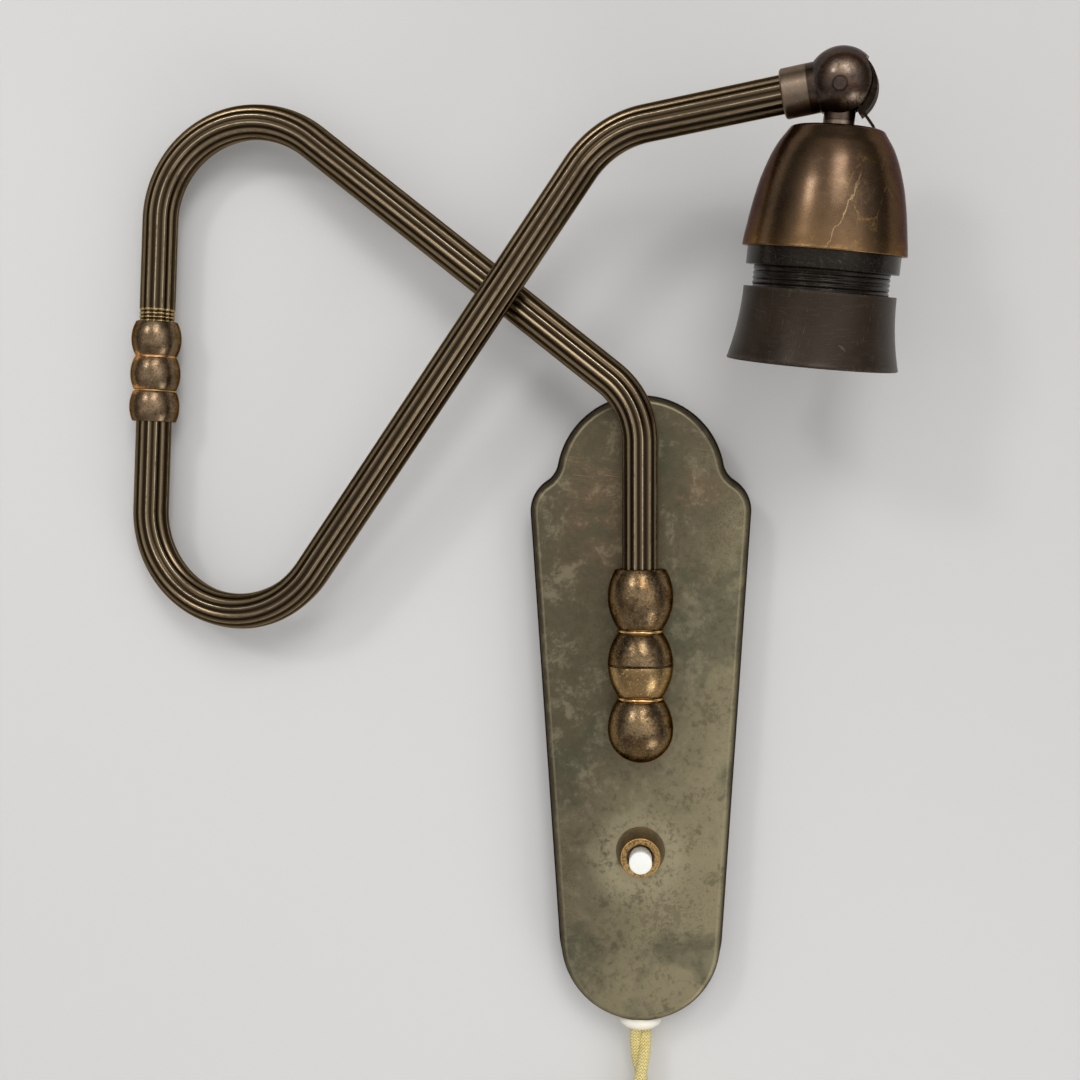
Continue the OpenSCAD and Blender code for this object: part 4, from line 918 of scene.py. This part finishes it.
def smallProfiles():
    s = smallBead
    radius, curve, waist, half = s["radius"], s["curve"], s["waist"], s["middle"] / 2
    seam = half + s["groove"]
    end = seam + s["low"]
    upper = [(0, -half, 0.0), (3.6, -half, 0.2)] + beadRows(0, radius, -half, half, curve, 20)
    upper += [(waist, half, 0.9), (waist, seam, 0.9)] + beadRows(seam + s["top"] / 2, radius, seam, elbowTop, curve, 20)
    upper += [(6.1, elbowTop, 0.5), (5.74, elbowTop - 0.5, 0.3), (5.74, elbowTop - 3, 0), (0, elbowTop - 3, 0)]
    low = [(0, 3 - end, 0), (5.74, 3 - end, 0), (5.74, 0.5 - end, 0.3), (6.1, -end, 0.5)]
    low += beadRows(-seam - s["low"] / 2, radius, -end, -seam, curve, 20) + [(3.6, -seam, 0.2), (0, -seam, 0)]
    washer = [(3.7, 0.05 - seam, 0.9), (waist, 0.05 - seam, 0.9), (waist + 0.12, s["groove"] / 2 - seam, 1.0),
              (waist, -half - 0.05, 0.9), (3.7, -half - 0.05, 0.9)]
    return upper, low, washer


def waistWearAndSheen(radius, height, angle):
    # beside the waists, on the side towards the left arm: partly rubbed patches, partly painted highlight streaks
    half = smallBead["middle"] / 2
    near = min(abs(height - half), abs(height + half))
    left = max(0.0, cos(angle - 0.65)) ** 2
    return 0.05 + 0.8 * exp(-(near / (0.35 + 1.6 * left)) ** 2) * (0.3 + 0.7 * left)


upperBeads, lowBead, beadWasher = smallProfiles()
brass = finishes["elbowBrass"]
putOn(turned("elbowUpper", upperBeads, elbowPlace, brass, wearIt=waistWearAndSheen), "lower_arm", "brown_brass", "elbow_upper")
putOn(turned("elbowLower", lowBead, elbowPlace, brass, wearIt=waistWearAndSheen), "upper_arm", "brown_brass", "elbow_lower")
putOn(turned("elbowWasher", beadWasher, elbowPlace, finishes["dullBrass"], closed=True, corner=0.08),
      "lower_arm", "bright_brass", "upper_swing_washer")
print("upper knuckle made")

# head
headSizes = {
    "capTop": 11.2, "capRim": 46.2, "topRadius": 12.1, "rimRadius": 23.9, "sheet": 1.0,
    "collarRadius": 22.2, "collarTop": 41.6, "collarLow": 51.5, "barrelRadius": 19.85, "barrelLow": 74.2,
    "ringTop": 57.8, "ringLow": 79.2, "ringTopRadius": 22.2, "ringLowRadius": 24.9, "ringWall": 1.5,
    "threadPitch": 1.4, "threadDepth": 0.3,
    "socketRadius": 13.25, "socketTop": 52.2, "shellTall": 20, "shellWall": 0.6, "shellPitch": 3.6, "shellDepth": 0.6,
}
capSide = [(13.3, 11.65), (14.1, 12.7), (15.0, 14.0), (15.7, 15.0), (16.35, 16.0), (17.4, 18.0),
           (18.3, 20.0), (19.05, 22.0), (20.05, 25.0), (20.9, 28.0), (21.55, 31.0), (22.15, 34.0),
           (22.65, 37.0), (23.1, 40.0), (23.55, 43.0), (23.85, 45.6)]


def smoothRow(points, parts=4):
    # a curve through the points
    made = []
    for i in range(len(points) - 1):
        a, b, c, d = (Vector(points[max(0, min(len(points) - 1, i + k))]) for k in (-1, 0, 1, 2))
        for j in range(parts):
            u = j / parts
            made.append(tuple(0.5 * (2 * b + (c - a) * u + (2 * a - 5 * b + 4 * c - d) * u * u
                                     + (3 * b - a - 3 * c + d) * u ** 3)))
    return made + [points[-1]]


def capProfile():
    h = headSizes
    top, rim, radius, sheet = h["capTop"], h["capRim"], h["rimRadius"], h["sheet"]
    side = smoothRow([(h["topRadius"], top)] + capSide, 3)
    rows = [(0, top, 0)] + [(r, t, 0.5 * max(0.0, (t - 32) / 14) ** 2) for r, t in side]
    inner = [(r - sheet, t + 0.5, 0.0) for r, t in side if r - sheet < 22.3 and t > 14]
    rows += [(radius, rim - 0.35, 0.5), (radius - 0.1, rim, 0.6), (22.4, rim, 0.3), (22.35, inner[-1][1] + 0.6, 0.0)]
    return rows + inner[::-1] + [(0, top + 1.2, 0)]


def holderProfile():
    h = headSizes
    collar, collarTop, low, barrel, end = (
        h[key] for key in ("collarRadius", "collarTop", "collarLow", "barrelRadius", "barrelLow"))
    rows = [(12.6, 44.1, 0), (18.35, 44.1, 0), (18.35, collarTop, 0), (collar, collarTop, 0), (collar, low, 0.5),
            (barrel - 0.2, low, 0)]
    t = low + 0.3
    while t < end - 0.3:
        rows.append((barrel, t, 0.12))
        t += 0.14
    return rows + [(barrel - 0.3, end, 0.4), (14.1, end, 0), (14.1, 47.1, 0), (12.6, 47.1, 0)]


def wave(height, angle, pitch):
    # one thread round the piece
    return cos(2 * pi * (height / pitch - angle / (2 * pi)))


def threaded(radius, height, angle):
    h = headSizes
    if abs(radius - h["barrelRadius"]) > 0.05:
        return radius, height
    ends = min(1.0, (height - h["collarLow"]) / 1.2, (h["barrelLow"] - height) / 1.5)
    return radius - h["threadDepth"] * max(0, ends) * (0.5 - 0.5 * wave(height, angle, h["threadPitch"])) ** 1.4, height


def ringProfile():
    h = headSizes
    top, low, narrow, wide = h["ringTop"], h["ringLow"], h["ringTopRadius"], h["ringLowRadius"]
    span = low - top
    rows = [(narrow + (wide - narrow) * (i / 20) ** 2, top + (span - 0.8) * i / 20, 0.8 if i in (0, 20) else 0.0)
            for i in range(21)]
    rows += [(wide + 0.2, low - 0.5, 0.9), (wide, low, 0.9), (wide - h["ringWall"], low, 0.5)]
    return rows + [(h["barrelRadius"] + 0.08, top + 0.5 * span, 0.0), (h["barrelRadius"] + 0.08, top, 0.0)]


def shellWave(radius, height, angle):
    h = headSizes
    ends = min(1.0, (height - h["socketTop"]) / 2, (h["socketTop"] + h["shellTall"] - height) / 2)
    return radius - h["shellDepth"] / 2 * max(0, ends) * (1 + wave(height, angle, h["shellPitch"])), height


def shellProfile():
    h = headSizes
    inner = [(h["socketRadius"] + 0.05, h["socketTop"] + h["shellTall"] * i / 60, 0.2) for i in range(61)]
    return inner + [(h["socketRadius"] + h["shellWall"], level, 0.0) for _, level, _ in inner[::-1]]


putOn(turned("headCap", capProfile(), headPlace, finishes["bronzeCap"], corner=0.3), "head", "brown_brass", "head_cap")
putOn(turned("lampHolder", holderProfile(), headPlace, finishes["blackPhenolic"], closed=True, shapeIt=threaded),
      "head", "black_phenolic", "lampholder")
putOn(turned("shadeRing", ringProfile(), headPlace, finishes["brownPhenolic"], closed=True, corner=0.22),
      "shade_ring", "brown_phenolic", "shade_ring")
putOn(turned("socketShell", shellProfile(), headPlace, finishes["brightBrass"], closed=True, segments=96, corner=0.05,
             shapeIt=shellWave), "head", "bright_brass", "socket_shell")
contactRows = [(0, 47.1, 0), (3.0, 47.1, 0), (3.0, 48.0, 0.2), (2.2, 48.7, 0.2), (1.9, 50.4, 0.2),
               *ovalRows(0, 50.4, 1.9, 1.7, range(15, 90, 15), 0.6), (0, 52.1, 0.8)]
putOn(turned("centreContact", contactRows, headPlace, finishes["brightBrass"], segments=48),
      "head", "bright_brass", "centre_contact")
print("head made")

# switch, bush
switchLevel, bushSeat, bushTop = -46.0, -99.78, -103.0  # bush: inner flange over the plate's wall, outer one under it
switchAt = shift(0, 0, switchLevel) @ turn("X", 90)      # local z runs out from the wall
nutRows = [(5.2, 15.0, 0), (7.8, 15.0, 0), (7.82, 15.6, 0.3), (7.0, 20.3, 0.05), (6.4, 24.3, 0.2),
           (6.24, 24.7, 0.95), (6.12, 24.8, 0.9), (5.95, 24.8, 0.45), (5.1, 24.76, 0.52), (4.3, 24.72, 0.5),
           (4.0, 24.5, 0.3), (3.95, 24.3, 0.0), (3.95, 17.0, 0), (5.2, 17.0, 0)]
putOn(turned("switchNut", nutRows, switchAt, finishes["copperBrown"], closed=True, segments=96, corner=0.15),
      "wall_base", "copper_brown", "switch_nut")
buttonRows = [(0, 18.2, 0), (3.6, 18.2, 0), (3.6, 30.9, 0), *ovalRows(3.1, 30.9, 0.5, 0.7, range(10, 91, 10)), (0, 31.6, 0)]
putOn(turned("pushButton", buttonRows, switchAt, finishes["whitePlastic"], segments=96, corner=0),
      "button", "white_plastic", "push_button")
bushSide = [(3.6, 2.3), (4.2, 2.3), (4.7, 2.2), (5.3, 1.9), (5.9, 1.45), (6.4, 0.95), (6.66, 0.4), (6.7, 0)]
bushRows = [(r, bushTop - drop, 0) for r, drop in bushSide]
bushRows += [(4.7, bushTop, 0), (4.7, bushSeat, 0), (5.9, bushSeat, 0), (5.9, bushSeat + 1, 0), (3.6, bushSeat + 1, 0)]


def underPlate(radius, height, angle):
    # the flange's upper face follows the underside of the plate
    if radius < 4.8 or abs(height - bushTop) > 0.06:
        return radius, height
    p = plateLook
    x, out, inset = radius * cos(angle), cordLook["out"] - radius * sin(angle), p["wallIn"]
    past = out - p["depth"] + p["edge"]
    if out < p["lip"] + p["flareTall"]:
        inset = p["flare"] * sin(acos(max(0.0, 1 - max(0.0, out - p["lip"]) / p["flareTall"])))
    elif past > 0:
        inset += p["edge"] * (1 - sqrt(1 - (past / p["edge"]) ** 2))
    low = p["middle"] - p["height"] / 2 + p["bottomRadius"]
    return radius, max(height, low - sqrt((p["bottomRadius"] - inset) ** 2 - x * x) - 0.15)


putOn(turned("cordBush", bushRows, shift(0, -cordLook["out"], 0), finishes["ivoryPlastic"], closed=True, segments=96,
             corner=0.06, shapeIt=underPlate), "wall_base", "ivory_plastic", "cord_bush")
print("switch and bush made")

# plug and tie on the cord
plugPlace = shift(*cordPath[-1])
plugSizes = {
    "length": 36.0, "pins": 19.0, "pinRadius": 2.0, "pinLength": 19.0, "pinIn": 8, "sides": 64,
    "rows": [  # depth, half width, half thickness
        (0, 5.4, 5.2), (1.0, 5.8, 5.6), (4, 6.1, 5.8), (7, 7.0, 6.0), (11, 9.6, 6.35), (15, 12.6, 6.6), (19, 15.2, 6.75),
        (23, 16.7, 6.8), (27, 17.3, 6.82), (31, 17.55, 6.85), (34.6, 17.62, 6.85), (35.6, 17.3, 6.5), (36, 16.6, 5.9)],
    "gripTop": 20, "gripLow": 34, "gripPitch": 2.33, "gripDepth": 0.025,
}


def plugBody():
    p = plugSizes
    fine, sides, vertices = smoothRow(p["rows"]), p["sides"], []
    for down, wide, thick in fine:
        power = 2 / (2 + 3.0 * min(1, max(0, (down - 3) / 20)))
        for k in range(sides):
            c, s = cos(2 * pi * k / sides), sin(2 * pi * k / sides)
            x, y = wide * copysign(abs(c) ** power, c), thick * copysign(abs(s) ** power, s)
            if p["gripTop"] < down < p["gripLow"] and abs(c) > 0.9:
                x *= 1 - p["gripDepth"] * (0.5 - 0.5 * cos(2 * pi * (down - p["gripTop"]) / p["gripPitch"]))
            vertices.append((x, y, -down))
    faces = bandFaces([(i, i + 1) for i in range(len(fine) - 1)], sides) + capFaces(len(fine), sides)
    return newPiece("plugBody", vertices, faces, finishes["goldPlastic"], plugPlace)


def plugPins():
    p = plugSizes
    low, top, r = -p["length"] - p["pinLength"], p["pinIn"] - p["length"], p["pinRadius"]
    rows = [(0, low, 0), *ovalRows(0, low + r, r, r, range(-75, 1, 15)), (r, top, 0), (0, top, 0)]
    made = [turned("plugPin%d" % side, rows, plugPlace @ shift((side - 2) * p["pins"] / 2, 0, 0), finishes["zincSteel"],
                   segments=40, corner=0.15) for side in (1, 3)]
    bpy.context.view_layer.update()
    with bpy.context.temp_override(active_object=made[0], selected_editable_objects=made):
        bpy.ops.object.join()
    made[0].name = "plugPins"
    return made[0]


tieLook = {
    "round": 3.9,   # half the cord and a little more
    "corner": 3.4,
    "section": [(-4, 0), (-3.8, 0.7), (-3.4, 0.8), (3.4, 0.8), (3.8, 0.7), (4, 0), (3.8, 0.05), (-3.8, 0.05)],
}


def tieBand():
    # a flat band round the coil at its lowest point
    r, corner, section = tieLook["round"], tieLook["corner"], tieLook["section"]
    lowZ = coilCentre.z - coil["radius"] - r + 3
    highZ = coilCentre.z - coil["radius"] + coil["pitch"] * coilTurns / 2 + r + 0.1
    nearY, farY = r - cordLook["out"], -cordLook["out"] - coil["pitch"] - r
    loop = []
    for cy, cz, start in ((nearY - corner, highZ - corner, 0), (farY + corner, highZ - corner, 90),
                          (farY + corner, lowZ + corner, 180), (nearY - corner, lowZ + corner, 270)):
        loop += [Vector(spot) for spot in arcPoints((cy, cz), corner, start, start + 90, 8)]
    vertices, centre = [], Vector(((nearY + farY) / 2, (lowZ + highZ) / 2))
    for i, spot in enumerate(loop):
        ahead = (loop[(i + 1) % len(loop)] - loop[i - 1]).normalized()
        out = Vector((ahead.y, -ahead.x))
        out *= copysign(1, out.dot(spot - centre))
        vertices += [(coilCentre.x + x, *(spot + out * h)) for x, h in section]
    faces = bandFaces([(i, (i + 1) % len(loop)) for i in range(len(loop))], len(section))
    return newPiece("coilTie", vertices, faces, finishes["tieRubber"])


plug = putOn(plugBody(), "wall_base", "gold_plastic", "plug_body")
pins = putOn(plugPins(), "wall_base", "steel", "plug_pins")
tie = putOn(tieBand(), "wall_base", "tie_rubber", "coil_tie")
tuple(cordPath[0] * 0.001)
[tuple(p * 0.001) for p in cordPath]
print("plug and tie made")

# finishes of the solids that stay
kept = {
    "brightBrass": ("stem", "stem_nut", "terminal_screws", "lower_spindle_nut", "upper_spindle_clip",
                    "swivel_nipple", "cap_nut"),
    "zincSteel": ("mounting_bar", "side_screws", "stem_washer", "nipple_clip"),
    "ballBronze": ("ball_joint", "tilt_pin", "head_neck"),
    "brownBrass": ("stem_collar",), "darkIron": ("slot_cover",), "ceramicBase": ("socket_base",),
    "ivoryPlastic": ("switch_body",), "whitePlastic": ("terminal_block",),
}
for finish, names in kept.items():
    for holder in (slot for name in names for slot in nodes[name].material_slots):
        holder.material = finishes[finish]
print("kept solids finished")

# wall, floor and light
studio = shades({
    "wall": (219, 218, 217), "wallShade": (209, 207, 205), "floor": (222, 221, 220), "floorShade": (216, 215, 212),
    "backdrop": (226, 226, 225),
    "aside": 0.12, "ahead": 0.98, "behind": 0.7,  # world from the sides, the front and behind the wall
    "wallBack": 0.0004, "wallEnds": (-1.6, -0.9, 1.6, 1.5), "floorEnds": (-2.5, -3.0, 2.5, 1.5),
    "openEnds": (-0.017, -0.088, 0.017, 0.066),   # the wall is open behind the plate, to light the hidden pieces
})
lamps = {  # place, aim, width, height, power
    "keyLamp": ((-1.2, -1.8, 1.2), (-0.02, 0, 0.06), 0.36, 0.36, 7.0),
    "frontLamp": ((0.35, -1.9, 1.3), (0, 0, 0.05), 0.7, 0.9, 12.0),
    "fillLamp": ((1.1, -1.9, 0.3), (0, 0, 0.05), 1.2, 1.2, 2.5),
    "lowLamp": ((0.6, -0.5, -0.65), (0.03, 0, 0.05), 0.4, 0.4, 1.3),
}


def corners(left, low, right, high):
    return [(left, low), (right, low), (right, high), (left, high)]


def plane(name, points, material, faces=((0, 1, 2, 3),)):
    mesh = bpy.data.meshes.new(name)
    mesh.from_pydata(points, [], faces)
    mesh.materials.append(material)
    newObject(name, mesh)


def wallFinish():
    f = Finish("paleWall", studio["wall"])
    # painted shade: the wall darkens towards the top right, where the lamps fall off
    paintedFalloff = f.split(f.place, "X") * 0.6 + f.split(f.place, "Z") * 0.5 + f.clouds(120.0, 3.0, 0.5) * 60.0
    f.lay(studio["wallShade"], f.step(paintedFalloff, -60.0, 220.0))
    shader = f.node("ShaderNodeBsdfPrincipled", {}, {"Base Color": f.colour, "Roughness": 0.85, "Specular IOR Level": 0.2})
    both = f.node("ShaderNodeMixShader", {}, {
        0: f.node("ShaderNodeNewGeometry", output="Backfacing"), 1: shader, 2: f.node("ShaderNodeBsdfTransparent")})
    f.node("ShaderNodeOutputMaterial", {}, {"Surface": both})
    return f.material


def floorFinish():
    f = Finish("paleFloor", studio["floor"])
    f.lay(studio["floorShade"], f.step(f.clouds(200.0), 0.3, 0.7), 0.4)
    return f.done(0.8, 0.0)


wallPoints = [(x, studio["wallBack"], z) for ends in ("wallEnds", "openEnds") for x, z in corners(*studio[ends])]
plane("wall", wallPoints, wallFinish(), [(k, (k + 1) % 4, (k + 1) % 4 + 4, k + 4) for k in range(4)])
plane("floor", [(x, y, studio["wallEnds"][1]) for x, y in corners(*studio["floorEnds"])], floorFinish())

world = bpy.data.worlds.new("studio")
world.use_nodes = True
bpy.context.scene.world = world
sky = Bench(world.node_tree)
sky.tree.nodes.clear()
facing = sky.split(sky.node("ShaderNodeTexCoord", output="Generated"), "Y")
front = sky.step(facing, -0.15, -0.95, studio["aside"], studio["ahead"])
light = front + sky.step(facing, 0.2, 0.6, 0.0, studio["behind"])
glow = sky.node("ShaderNodeBackground", {}, {"Color": (1, 1, 1, 1), "Strength": light})
pale = sky.node("ShaderNodeBackground", {}, {"Color": studio["backdrop"], "Strength": 1.0})
# the camera sees the backdrop all round, mirrored and refracted rays see it behind the wall's plane
seen, mirrored, through = (
    sky.node("ShaderNodeLightPath", output="Is %s Ray" % kind) for kind in ("Camera", "Glossy", "Transmission"))
shown = seen.most(mirrored.most(through) * (facing > 0.2))
sky.node("ShaderNodeOutputWorld", {}, {"Surface": sky.node("ShaderNodeMixShader", {}, {0: shown, 1: glow, 2: pale})})
for name, (at, aim, width, height, power) in lamps.items():
    lamp = bpy.data.lights.new(name, "AREA")
    lamp.shape, lamp.size, lamp.size_y, lamp.energy = "RECTANGLE", width, height, power
    holder = newObject(name, lamp)
    holder.location = at
    holder.rotation_euler = (Vector(aim) - Vector(at)).to_track_quat("-Z", "Y").to_euler()
bpy.context.scene.view_settings.view_transform = "Standard"
print("studio set")
